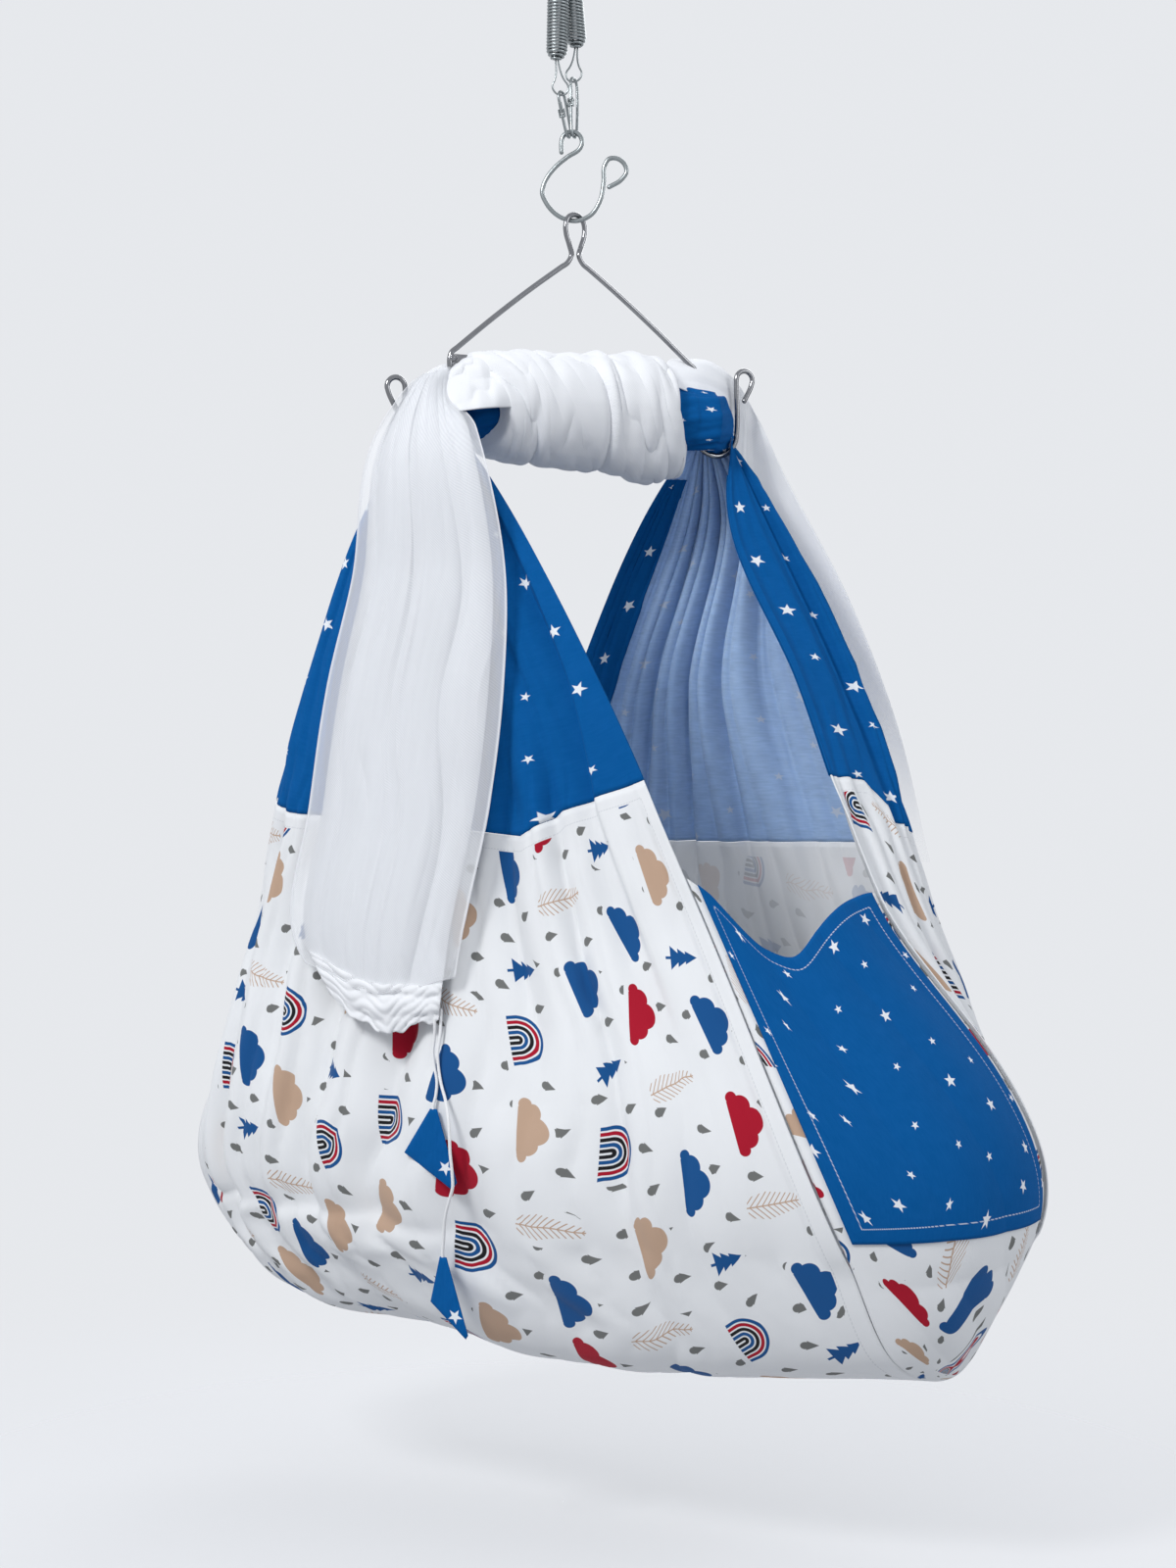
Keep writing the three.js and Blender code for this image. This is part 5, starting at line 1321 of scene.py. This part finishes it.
class CRADLE_OT_top_band(bpy.types.Operator):
    """The gathered top of the cloth, lying in both J-hooks"""

    bl_idname = "cradle.top_band"
    bl_label = "Gathered top band"

    def execute(self, context):
        right = np.array(BAND)
        slimmer = np.interp(right[:, 0], [0, 0.9, 1, 1.12], [1, 0.96, 0.86, 0.6])
        left = (right * [-1, 1, 1, 1])[::-1]
        left[:, 0] = np.maximum(left[:, 0], -1.1)
        left[:, 2:] *= slimmer[::-1, None]
        controls = np.concatenate([left, right[1:] * [1, -1, 1, 1]])
        place = curve_through(controls, np.linspace(0, len(controls) - 1, 190))
        distance, back, depth, height = (place[:, k][:, None] for k in range(4))
        angle = np.linspace(0, 2 * math.pi, 120, endpoint=False)[None]
        lowest = TROUGH + ROD / 2 + FIT + height * BAND_RADIUS
        middle = np.maximum(lowest, BAND_CENTRE - (1 - height) * BAND_RADIUS)
        twist = angle + 1.3 * distance
        pleat = np.abs(np.cos(4.5 * twist + 0.5 * ripple(distance * 5, 0.6))) - 0.6
        fine = np.abs(np.cos(9.5 * twist + 1.1)) - 0.6
        swell = 1 + 0.075 * pleat + 0.035 * fine
        across = back * BAND_RADIUS + depth * BAND_RADIUS * swell * np.cos(angle)
        up = middle + height * BAND_RADIUS * swell * np.sin(angle)
        points = on_hanger(distance * HOOK_CENTRE + 0 * angle, across, up)
        faces = capped_faces(190, 120, True)
        uv = np.stack(np.broadcast_arrays(angle * 0.07, distance * HOOK_CENTRE * 1.1), -1)
        band = make_object("band_cloth", points, faces, uv, {"hem": np.full(points.shape[:2], 1.0)})
        finish_piece(band, "star", "cradle", "star_cloth", "top_band")
        return {"FINISHED"}


class CRADLE_OT_star_panels(bpy.types.Operator):
    """The two upper panels of star cloth and the facings along their slits"""

    bl_idname = "cradle.star_panels"
    bl_label = "Star panels and facings"

    def execute(self, context):
        thickness = sizes().cloth
        gap = SEAM_GAP
        columns = np.linspace(0, COLUMNS, 241)
        for name, right in (("left", False), ("right", True)):
            seam = seam_rows(columns, right)
            first, last = (seam + gap, ROWS) if right else (0, seam - gap)
            panel = sack_piece(
                f"{name}_star_cloth", columns, first, last, 121, 0, "star", "star back", thickness
            )
            finish_piece(panel, None, "cradle", "star_cloth", f"{name}_star_panel")
        width, top = COLUMNS * 2 / 14, SEAM * 0.25
        for end, c0, c1 in (("near", 0, width), ("far", COLUMNS - width, COLUMNS)):
            for name, right in (("left", False), ("right", True)):
                columns = np.linspace(c0, c1, 41)
                seam = seam_rows(columns, right)
                first, last = (seam + gap, ROWS - top) if right else (top, seam - gap)
                strip = sack_piece(
                    f"{name}_{end}_strip", columns, first, last, 91,
                    thickness + FACING, "star", "star", FACING,
                )
                finish_piece(strip, None, "cradle", "star_cloth", f"{name}_{end}_facing")
        return {"FINISHED"}


class CRADLE_OT_print_loop(bpy.types.Operator):
    """The printed cloth down the left side, under the bottom and up the right side"""

    bl_idname = "cradle.print_loop"
    bl_label = "Printed loop"

    def execute(self, context):
        columns = np.linspace(0, COLUMNS, 211)
        first, last = seam_rows(columns, False), seam_rows(columns, True)
        loop = sack_piece(
            "printed_loop", columns, first, last, 231, 0, "print", "print back", sizes().cloth, seams=True
        )
        finish_piece(loop, None, "cradle", "print_cloth", "print_loop")
        return {"FINISHED"}


def end_surface(column, across, down):
    """An end panel as a grid: chords between the two slit seams, with a dipped top edge,
    bulging outwards as 4a(1-a) times a quarter sine of the way down."""
    a, d = np.meshgrid(across, down)
    tent = 1.03 - np.sqrt((2 * np.clip(a, 0, 1) ** 1.9 - 1) ** 2 + 0.03)
    dip = 0.065 / SACK_HEIGHT * tent - 0.03 * ease(a, 0.8, 1)
    row = ROWS * (0.25 + 0.24 * (d + dip * (1 - ease(d, 0, 0.34))))
    line = curve_through(np.swapaxes(SACK_ROWS, 0, 1), [column])[0]
    left = curve_through(line, row.ravel()).reshape(*row.shape, 3)
    right = curve_through(line, (ROWS - row).ravel()).reshape(*row.shape, 3)
    start, end = (right, left) if column == 0 else (left, right)
    chord = end - start
    out = unit(np.stack([-chord[..., 1], chord[..., 0], 0 * a], -1))
    opening = np.sin(math.pi / 2 * np.minimum((d + 0.1) / 0.45, 2 * (1.05 - d)))
    bulge = 0.18 * np.linalg.norm(chord, axis=-1) * 4 * a * (1 - a) * opening
    return settled(start + chord * a[..., None] + out * bulge[..., None])


class CRADLE_OT_end_panels(bpy.types.Operator):
    """The two printed end panels and the star pocket on the near one"""

    bl_idname = "cradle.end_panels"
    bl_label = "End panels and pocket"

    def folds(self, a, d, strength):
        """Shallow creases that run slantwise from the upper corners, strongest at the top."""
        slant = a * 3.2 + d * 1.4
        crease = np.abs(np.cos(math.pi * slant + 0.4 * ripple(d * 4, 0.9))) - 0.65
        return strength * crease * np.sin(math.pi * a) ** 0.6 * (1 - 0.6 * d)

    def execute(self, context):
        across = np.linspace(0.004, 0.996, 121)
        down = np.linspace(0, 0.985, 121)
        a, d = np.meshgrid(across, down)
        for name, column in (("near", 0), ("far", COLUMNS)):
            points = end_surface(column, across, down)
            normals = normals_of(points)
            points = points + normals * self.folds(a, d, 0.004)[..., None]
            u, v = run_lengths(points)
            uv = np.stack([u, -v], -1)
            layers = {"hem": np.minimum(v + 0.004, 1.0)}
            panel = cloth_object(
                f"{name}_end_cloth", points, uv, layers, "print", "print back", sizes().cloth
            )
            finish_piece(panel, None, "cradle", "print_cloth", f"{name}_end_panel")
        across = np.linspace(0.035, 0.965, 111)
        down = np.linspace(0, 1 / 3, 91)
        a, d = np.meshgrid(across, down)
        points = end_surface(0, across, down)
        normals = normals_of(points)
        lift = 0.0018 + 0.004 * np.sin(math.pi * a) * (1 - ease(d, 0.0, 0.22))
        points = points + normals * (self.folds(a, d, 0.004) + lift)[..., None]
        u, v = run_lengths(points)
        edge = edge_distance(u, v, u.max(1, keepdims=True), v.max(0, keepdims=True))
        uv = np.stack([u, v], -1)
        pocket = cloth_object(
            "pocket_cloth", points, uv, {"hem": edge}, "star stitched", "star back", sizes().cloth
        )
        finish_piece(pocket, None, "cradle", "star_cloth", "near_pocket")
        return {"FINISHED"}


class CRADLE_OT_mattress(bpy.types.Operator):
    """The pad that gives the bottom its shape, with a rounded rim and a raised head end"""

    bl_idname = "cradle.mattress"
    bl_label = "Mattress"

    def execute(self, context):
        step = COLUMNS / 14
        edge = SEAM + 7 * (ROWS - 2 * SEAM) / 20
        a = np.linspace(0, 1, 121)
        b = np.linspace(0, 1, 91)
        columns = 2 * step + (COLUMNS - 3 * step) * a
        rows = edge + (ROWS - 2 * edge) * b
        points, normals = sack_points(columns, rows)
        lower = points - normals * 0.0042
        aa, bb = np.meshgrid(a, b)
        rim = (1 - (2 * aa - 1) ** 6) * (1 - (2 * bb - 1) ** 6)
        top = BUNDLE_TOP - SACK_HEIGHT + 0.003 + MATTRESS_THICKNESS
        height = top + MATTRESS_HEAD_RISE * (aa - 0.5) - (1 - rim) * 0.17 * MATTRESS_THICKNESS
        upper = lower.copy()
        upper[..., 2] = np.maximum(height, lower[..., 2] + 0.12 * MATTRESS_THICKNESS) - 0.0015
        quilt = np.abs(np.sin(math.pi * 7 * aa)) * np.abs(np.sin(math.pi * 4 * bb))
        upper[..., 2] += 0.0025 * (quilt**0.35 - 0.8) * rim
        both = np.concatenate([lower.reshape(-1, 3), upper.reshape(-1, 3)])
        size = len(b) * len(a)
        quads = grid_faces(len(b), len(a))
        faces = quads.tolist() + (quads[:, ::-1] + size).tolist()
        index = np.arange(size).reshape(len(b), len(a))
        loop = np.concatenate([index[0, :-1], index[:-1, -1], index[-1, :0:-1], index[:0:-1, 0]])
        following = np.roll(loop, -1)
        faces += np.stack([following, loop, loop + size, following + size], -1).tolist()
        flat = np.stack([aa * 0.75, bb * 0.3], -1).reshape(-1, 2)
        pad = make_object("mattress_pad", both, faces, np.concatenate([flat, flat]))
        finish_piece(pad, "pad", "cradle", "pad", "mattress")
        return {"FINISHED"}


TAIL = [
    [[-1.19, -0.51, 0.11], [-1.08, -0.43, 0.05], [-0.92, -0.38, 0.02]],
    [[-1.35, -0.72, 0.27], [-1.17, -0.72, 0.23], [-0.98, -0.42, 0.19]],
    [[-1.62, -0.62, 0.66], [-1.2, -1.05, 0.66], [-0.78, -1.08, 0.66]],
    [[-1.82, -0.58, 1.85], [-1.2, -1.13, 1.85], [-0.54, -1.34, 1.85]],
    [[-2.02, -0.51, 2.67], [-1.3, -1.11, 2.67], [-0.55, -1.45, 2.67]],
    [[-2.17, -0.49, 3.65], [-1.4, -1.12, 3.65], [-0.66, -1.49, 3.65]],
    [[-2.3, -0.5, 4.75], [-1.58, -1.15, 4.85], [-0.88, -1.47, 4.7]],
    [[-2.06, -0.72, 5.14], [-1.52, -1.2, 5.46], [-0.98, -1.5, 5.31]],
]
BACK = [
    [[0.7, 0.1, 0.09], [0.82, 0.5, -0.13], [0.93, 0.75, -0.12]],
    [[1.035, 0.3, 0.21], [1.17, 0.68, -0.13], [1.3, 0.88, -0.04]],
    [[1.26, 0.55, 0.27], [1.39, 0.8, 0.03], [1.5, 0.9, 0.2]],
    [[1.25, 0.87, 0.79], [1.52, 0.93, 0.83], [1.82, 0.75, 0.87]],
    [[1.3, 1.13, 1.9], [1.8, 1.06, 1.9], [2.34, 0.6, 1.9]],
    [[1.45, 1.3, 2.97], [2.05, 1.1, 2.97], [2.74, 0.5, 2.97]],
    [[1.65, 1.45, 4.16], [2.35, 1.2, 4.16], [3.02, 0.45, 4.16]],
]


def net_grid(shares, across, down, along=False):
    """A fall of net through rows of three points: a grid, or one line where along is set."""
    shares = np.array(shares)
    across_run, back, drop = (shares[..., k] * WRAP_HALF_LENGTH for k in range(3))
    rows = beside(LINE_LEAN + across_run, back, BAR_LEVEL - drop)
    levels = np.swapaxes(curve_through(np.swapaxes(rows, 0, 1), 2 * across), 0, 1)
    if along:
        return curve_through(levels, (down * (len(shares) - 1))[None])[0]
    return curve_through(levels, down * (len(shares) - 1))


class CRADLE_OT_net(bpy.types.Operator):
    """The mosquito net: wound round the top, with its loose ends in front and behind"""

    bl_idname = "cradle.net"
    bl_label = "Mosquito net"

    def roll_place(self, share, angle, extra=0.0):
        """A point of the roll: its radius carries slanting ridges, its lower side sags to the
        right, its ends are cut slantwise and tucked in."""
        s = 2 * share - 1
        turn = angle / (2 * math.pi)
        waver = 0.10 * np.sin(angle + 4 * s) + 0.07 * np.sin(2 * angle - 7 * s + 1)
        uneven = ripple(share * 6, 0.7)
        first = ridge(turn * 2 - 3.1 * share + 1.6 * waver + 0.45 * uneven)
        second = ridge(turn * 4 - 5.6 * share + 1.9 * waver + 0.3 + 0.8 * uneven)
        second = second * (0.5 + 0.5 * ripple(share * 9 + 2 * np.sin(angle), 1.1))
        third = ridge(turn * 7 - 12 * share - 2.2 * waver)
        loose = 0.5 + 0.5 * np.sin(angle * 2 + 5 * s + 0.7)
        swell = 1 + 0.13 * first + 0.075 * second * (0.2 + loose) + 0.02 * third * (1.1 - loose)
        swell = (1 - 0.1 * s**4) * swell + extra
        tuck = 1 - 0.3 * ease(np.abs(s), 0.95, 1.0)
        lower = np.clip(-np.sin(angle), 0, 1)
        front = np.clip(-np.cos(angle - 0.5), 0, 1)
        back = WRAP_HALF_DEPTH * swell * tuck * np.cos(angle)
        height = WRAP_HALF_HEIGHT * (1 + 0.09 * s) * swell * tuck * (1 + 0.16 * lower * ease(s, 0.0, 0.9))
        slant = 0.028 * front * ease(-s, 0.4, 1) - 0.022 * (1 - 0.9 * lower) * ease(s, 0.4, 1)
        return on_hanger(s * WRAP_HALF_LENGTH + slant, back, WRAP_CENTRE + height * np.sin(angle))

    def wrap(self):
        """The roll as a closed wall round the band, open at both ends."""
        share = np.linspace(0, 1, 230)[:, None]
        angle = np.linspace(0, 2 * math.pi, 212, endpoint=False)[None]
        points = self.roll_place(share + 0 * angle, angle + 0 * share)
        faces = grid_faces(230, 212, True)[:, ::-1].tolist()
        uv = np.stack(np.broadcast_arrays(angle * 0.052, share * 0.244), -1)
        roll = make_object("net_roll", points, faces, uv, {"layers": np.full(points.shape[:2], 1.05)})
        roll.data.materials.append(material("net"))
        apply_modifier(roll, "SOLIDIFY", thickness=0.003, offset=-1.0)
        finish_piece(roll, None, "cradle", "net", "net_wrap")

    def bridge(self):
        """The net between the top of the loose end and the roll: straight threads from one to
        the other, bowed towards the front."""
        t, w = np.meshgrid(np.linspace(0, 1, 60), np.linspace(0, 1, 50), indexing="ij")
        lanes, levels = np.linspace(0.72, 0.8, 60), np.linspace(0.01, 0.24, 60)
        start = net_grid(TAIL, lanes, levels, along=True) + 0.002 * AWAY
        share, angle = np.linspace(0.05, 0.03, 60), np.radians(np.linspace(75, 188, 60))
        end = self.roll_place(share, angle, 0.02)
        bow = 0.007 * 4 * w * (1 - w) * (1 + 0.8 * ridge(t * 2.6 + 0.9 * w + 0.3 * ripple(w * 3, 0.6)))
        points = start[:, None] * (1 - w[..., None]) + end[:, None] * w[..., None] - AWAY * bow[..., None]
        u, v = run_lengths(points)
        layers = {"layers": np.full(u.shape, 1.0)}
        piece = make_object("net_bridge", points, grid_faces(60, 50), np.stack([u, v], -1), layers)
        piece.data.materials.append(material("net"))
        apply_modifier(piece, "SOLIDIFY", thickness=sizes().net, offset=0.0)
        finish_piece(piece, None, "cradle", "net")

    def hem_rolls(self, a, hem):
        """The rolls of the gathered hem: one large ridge, small ones on it, and a raised middle."""
        large = ridge(2.6 * np.maximum(hem, 0) ** 0.8 + 0.5 * ripple(a * 2.2, 0.8) + 0.5)
        large = large * (0.7 + 0.5 * ripple(a * 5 + 2 * hem, 0.3)) * ease(hem, 0, 0.15)
        small = ridge(5.3 * hem + 1.6 * ripple(a * 4, 0.5) + 2 * a) * ease(hem, 0, 0.2)
        return 0.006 * large + 0.0025 * small + 0.005 * ease(hem, 0.0, 0.3) * ease(hem, 1.0, 0.7)

    def fall(self, name, shares, across, down, folds, depth, lift, cover, key, nodes, flat, roll=0):
        """A hanging sheet of net with folds that deepen downwards, and rolls across a gathered hem."""
        points = net_grid(shares, across, down)
        a, d = np.meshgrid(across, down)
        phase = folds * a + 0.35 * ripple(d * 3, 0.3) + 0.25 * ripple(a * 3, 1.7)
        fine = ridge(2.3 * phase + 0.3 + 0.3 * ripple(d * 5, 0.9)) * ripple(a * 7 - d, 1.9)
        wave = ridge(phase) * (0.6 + 0.5 * ripple(a * 4 + d, 0.2)) + 0.35 * fine
        depth = depth * wave * ease(d, -0.1, 0.35)
        hem = (d - 0.86 - 0.07 * a) / (0.14 - 0.07 * a)
        depth = depth * (1 - 0.75 * ease(hem, 0, 0.4)) + roll * self.hem_rolls(a, hem)
        points = points - AWAY * (depth + lift)[..., None]
        points = points + UP * (roll * 0.004 * ripple(a * 9, 0.4) * ease(hem, 0.6, 1))[..., None]
        uv = np.stack(run_lengths(points), -1)
        sheet = make_object(name, points, grid_faces(*points.shape[:2]), uv, {"layers": cover(a, d)})
        sheet.data.materials.append(material(key))
        apply_modifier(sheet, "SOLIDIFY", thickness=sizes().net, offset=0.0)
        finish_piece(sheet, None, "cradle", "net", *nodes)

    def execute(self, context):
        def folded(a, d):
            """Two layers and more, thinner along both sides and thicker at the hem."""
            return 0.6 + 0.45 * ease(a, 0.06, 0.16) * ease(a, 0.95, 0.84) + 0.2 * ease(d, 0.86, 0.9)

        def single(a, d):
            """One layer, denser along both selvedges."""
            return 0.85 + 0.9 * ease(np.abs(a - 0.5), 0.485, 0.493) + 0 * d

        def behind(a, d):
            """Folded at the top and thinning out downwards."""
            return 2.6 - 1.6 * ease(d, 0.3, 0.5) - 0.95 * ease(d, 0.75, 1.0) + 0 * a

        self.wrap()
        self.bridge()
        folds, tail = (3.6, 0.009), (0.19, 0.68)
        across, down = np.linspace(0.08, 0.92, 170), np.linspace(0, 1, 260)
        self.fall("net_folds", TAIL, across, down, *folds, 0.0, folded, "net", ["net_tail"], tail, roll=1)
        across, down = np.linspace(0, 1, 170), np.linspace(0.04, 0.93, 200)
        self.fall("net_veil", TAIL, across, down, *folds, 0.004, single, "veil", [], tail)
        across, down = np.linspace(0, 1, 80), np.linspace(0, 1, 160)
        back = (2.5, 0.004, 0.0, behind, "veil", ["net_back_fall"], (0.12, 0.62))
        self.fall("net_back", BACK, across, down, *back)
        return {"FINISHED"}


# Camera, lights and floor


SENSOR = 36
PHOTO_HEIGHT = 1600
FOCAL_PIXELS = 2900
CAMERA_TURN = 33
CAMERA_ACROSS = LINE_LEAN + 0.013
CAMERA_DISTANCE = 2.9
CAMERA_LEVEL = -0.9282
LAMP_TARGET = [0.02, 0.0, -1.0]
LAMPS = (
    ("key", (-1.6, -2.1, 0.9), 0.9, 60),
    ("fill", (2.6, -1.3, 0.3), 1.2, 13),
    ("back", (0.9, 2.3, 0.4), 2.0, 34),
)
SURROUND = (0.795, 0.812, 0.842, 1)
DAYLIGHT = (0.86, 0.89, 0.95, 1)
FLOOR_COLOUR = (0.74, 0.75, 0.775, 1)
FLOOR_LEVEL = 1.66
FLOOR_RADIUS = 2.6


class CRADLE_OT_camera(bpy.types.Operator):
    """The camera, level, at the photograph's angle and distance"""

    bl_idname = "cradle.camera"
    bl_label = "Camera"

    def execute(self, context):
        data = bpy.data.cameras.new("camera")
        data.sensor_width = SENSOR
        data.lens = SENSOR * FOCAL_PIXELS / PHOTO_HEIGHT
        camera = bpy.data.objects.new("camera", data)
        context.scene.collection.objects.link(camera)
        camera.location = beside(CAMERA_ACROSS, -CAMERA_DISTANCE, CAMERA_LEVEL)
        camera.rotation_euler = (math.radians(90), 0, math.radians(CAMERA_TURN))
        context.scene.camera = camera
        return {"FINISHED"}


class CRADLE_OT_stage(bpy.types.Operator):
    """A pale floor that fades into a pale surround, and soft lamps"""

    bl_idname = "cradle.stage"
    bl_label = "Studio"

    def lamp(self, context, name, place, size, power):
        """A round lamp that faces the cradle."""
        data = bpy.data.lights.new(name, "AREA")
        data.shape = "DISK"
        data.size = size
        data.energy = power
        lamp = bpy.data.objects.new(name, data)
        context.scene.collection.objects.link(lamp)
        lamp.location = place
        away = np.array(LAMP_TARGET) - np.array(place)
        pitch = math.atan2(np.linalg.norm(away[:2]), -away[2])
        lamp.rotation_euler = (pitch, 0, math.atan2(away[1], away[0]) - math.pi / 2)

    def execute(self, context):
        for name, place, size, power in LAMPS:
            self.lamp(context, name, tuple(beside(*place)), size, power)
        world = bpy.data.worlds.new("surround")
        context.scene.world = world
        world.use_nodes = True
        tree = world.node_tree
        shown = tree.nodes["Background"]
        shown.inputs["Color"].default_value = SURROUND
        dim = tree.nodes.new("ShaderNodeBackground")
        dim.inputs["Color"].default_value = DAYLIGHT
        place = tree.nodes.new("ShaderNodeSeparateXYZ")
        tree.links.new(tree.nodes.new("ShaderNodeTexCoord").outputs["Generated"], place.inputs[0])
        tree.links.new((Field(tree, place.outputs[2]) * 0.26 + 0.58).socket, dim.inputs["Strength"])
        rays = tree.nodes.new("ShaderNodeLightPath")
        seen = Field(tree, rays.outputs["Is Camera Ray"])
        seen = seen.high(Field(tree, rays.outputs["Is Transmission Ray"]))
        seen = seen.high(Field(tree, rays.outputs["Is Glossy Ray"]) * 0.75)
        mix = tree.nodes.new("ShaderNodeMixShader")
        tree.links.new(seen.socket, mix.inputs[0])
        tree.links.new(dim.outputs[0], mix.inputs[1])
        tree.links.new(shown.outputs[0], mix.inputs[2])
        tree.links.new(mix.outputs[0], tree.nodes["World Output"].inputs["Surface"])
        around = np.linspace(0, 2 * math.pi, 64, endpoint=False)
        radius, angle = np.meshgrid(np.linspace(0.001, FLOOR_RADIUS, 24), around, indexing="ij")
        points = np.stack([radius * np.cos(angle), radius * np.sin(angle), 0 * radius - FLOOR_LEVEL], -1)
        floor = make_object("floor", points, grid_faces(24, 64, True))
        floor.data.materials.append(self.floor_material())
        return {"FINISHED"}

    def floor_material(self):
        """Pale matt floor, opaque under the cradle and clear further out."""
        result, tree, shader = new_material("studio floor")
        shader.inputs["Base Color"].default_value = FLOOR_COLOUR
        shader.inputs["Roughness"].default_value = 0.9
        place = tree.nodes.new("ShaderNodeSeparateXYZ")
        tree.links.new(tree.nodes.new("ShaderNodeTexCoord").outputs["Object"], place.inputs[0])
        reach = length_of(Field(tree, place.outputs[0]), Field(tree, place.outputs[1]))
        fade = ((1.5 - reach) / 1.3).math("ADD", 0.0, clamp=True)
        tree.links.new((fade * fade * (3.0 - fade * 2.0) * 0.45).socket, shader.inputs["Alpha"])
        return result


class CRADLE_PT_panel(bpy.types.Panel):
    """Lists the cradle's pieces in the sidebar"""

    bl_idname = "CRADLE_PT_panel"
    bl_label = "Hanging cradle"
    bl_space_type = "VIEW_3D"
    bl_region_type = "UI"
    bl_category = "Cradle"

    def draw(self, context):
        layout = self.layout
        for group in (context.scene.cradle_sizes, context.scene.cradle_colours):
            for key in group.__annotations__:
                layout.prop(group, key)
        for step in STEPS:
            layout.operator(step.bl_idname)


STEPS = (
    CRADLE_OT_camera,
    CRADLE_OT_drawstrings,
    CRADLE_OT_link,
    CRADLE_OT_springs,
    CRADLE_OT_snap_hooks,
    CRADLE_OT_s_hook,
    CRADLE_OT_hanger,
    CRADLE_OT_top_band,
    CRADLE_OT_star_panels,
    CRADLE_OT_print_loop,
    CRADLE_OT_end_panels,
    CRADLE_OT_mattress,
    CRADLE_OT_net,
    CRADLE_OT_stage,
)
CLASSES = (CradleSizes, CradleColours, *STEPS, CRADLE_PT_panel)


def register():
    """Makes the classes known to Blender and gives the scene its settings."""
    for made in CLASSES:
        bpy.utils.register_class(made)
    bpy.types.Scene.cradle_sizes = bpy.props.PointerProperty(type=CradleSizes)
    bpy.types.Scene.cradle_colours = bpy.props.PointerProperty(type=CradleColours)


def unregister():
    """Takes back what register did."""
    del bpy.types.Scene.cradle_sizes
    del bpy.types.Scene.cradle_colours
    for made in reversed(CLASSES):
        bpy.utils.unregister_class(made)


def main():
    register()
    bpy.context.scene.view_settings.view_transform = "Standard"
    bpy.ops.cradle.camera()
    bpy.ops.cradle.drawstrings()
    bpy.ops.cradle.link()
    bpy.ops.cradle.springs()
    bpy.ops.cradle.snap_hooks()
    bpy.ops.cradle.s_hook()
    bpy.ops.cradle.hanger()
    bpy.ops.cradle.top_band()
    bpy.ops.cradle.star_panels()
    bpy.ops.cradle.print_loop()
    bpy.ops.cradle.end_panels()
    bpy.ops.cradle.mattress()
    bpy.ops.cradle.net()
    bpy.ops.cradle.stage()


if __name__ == "__main__":
    main()
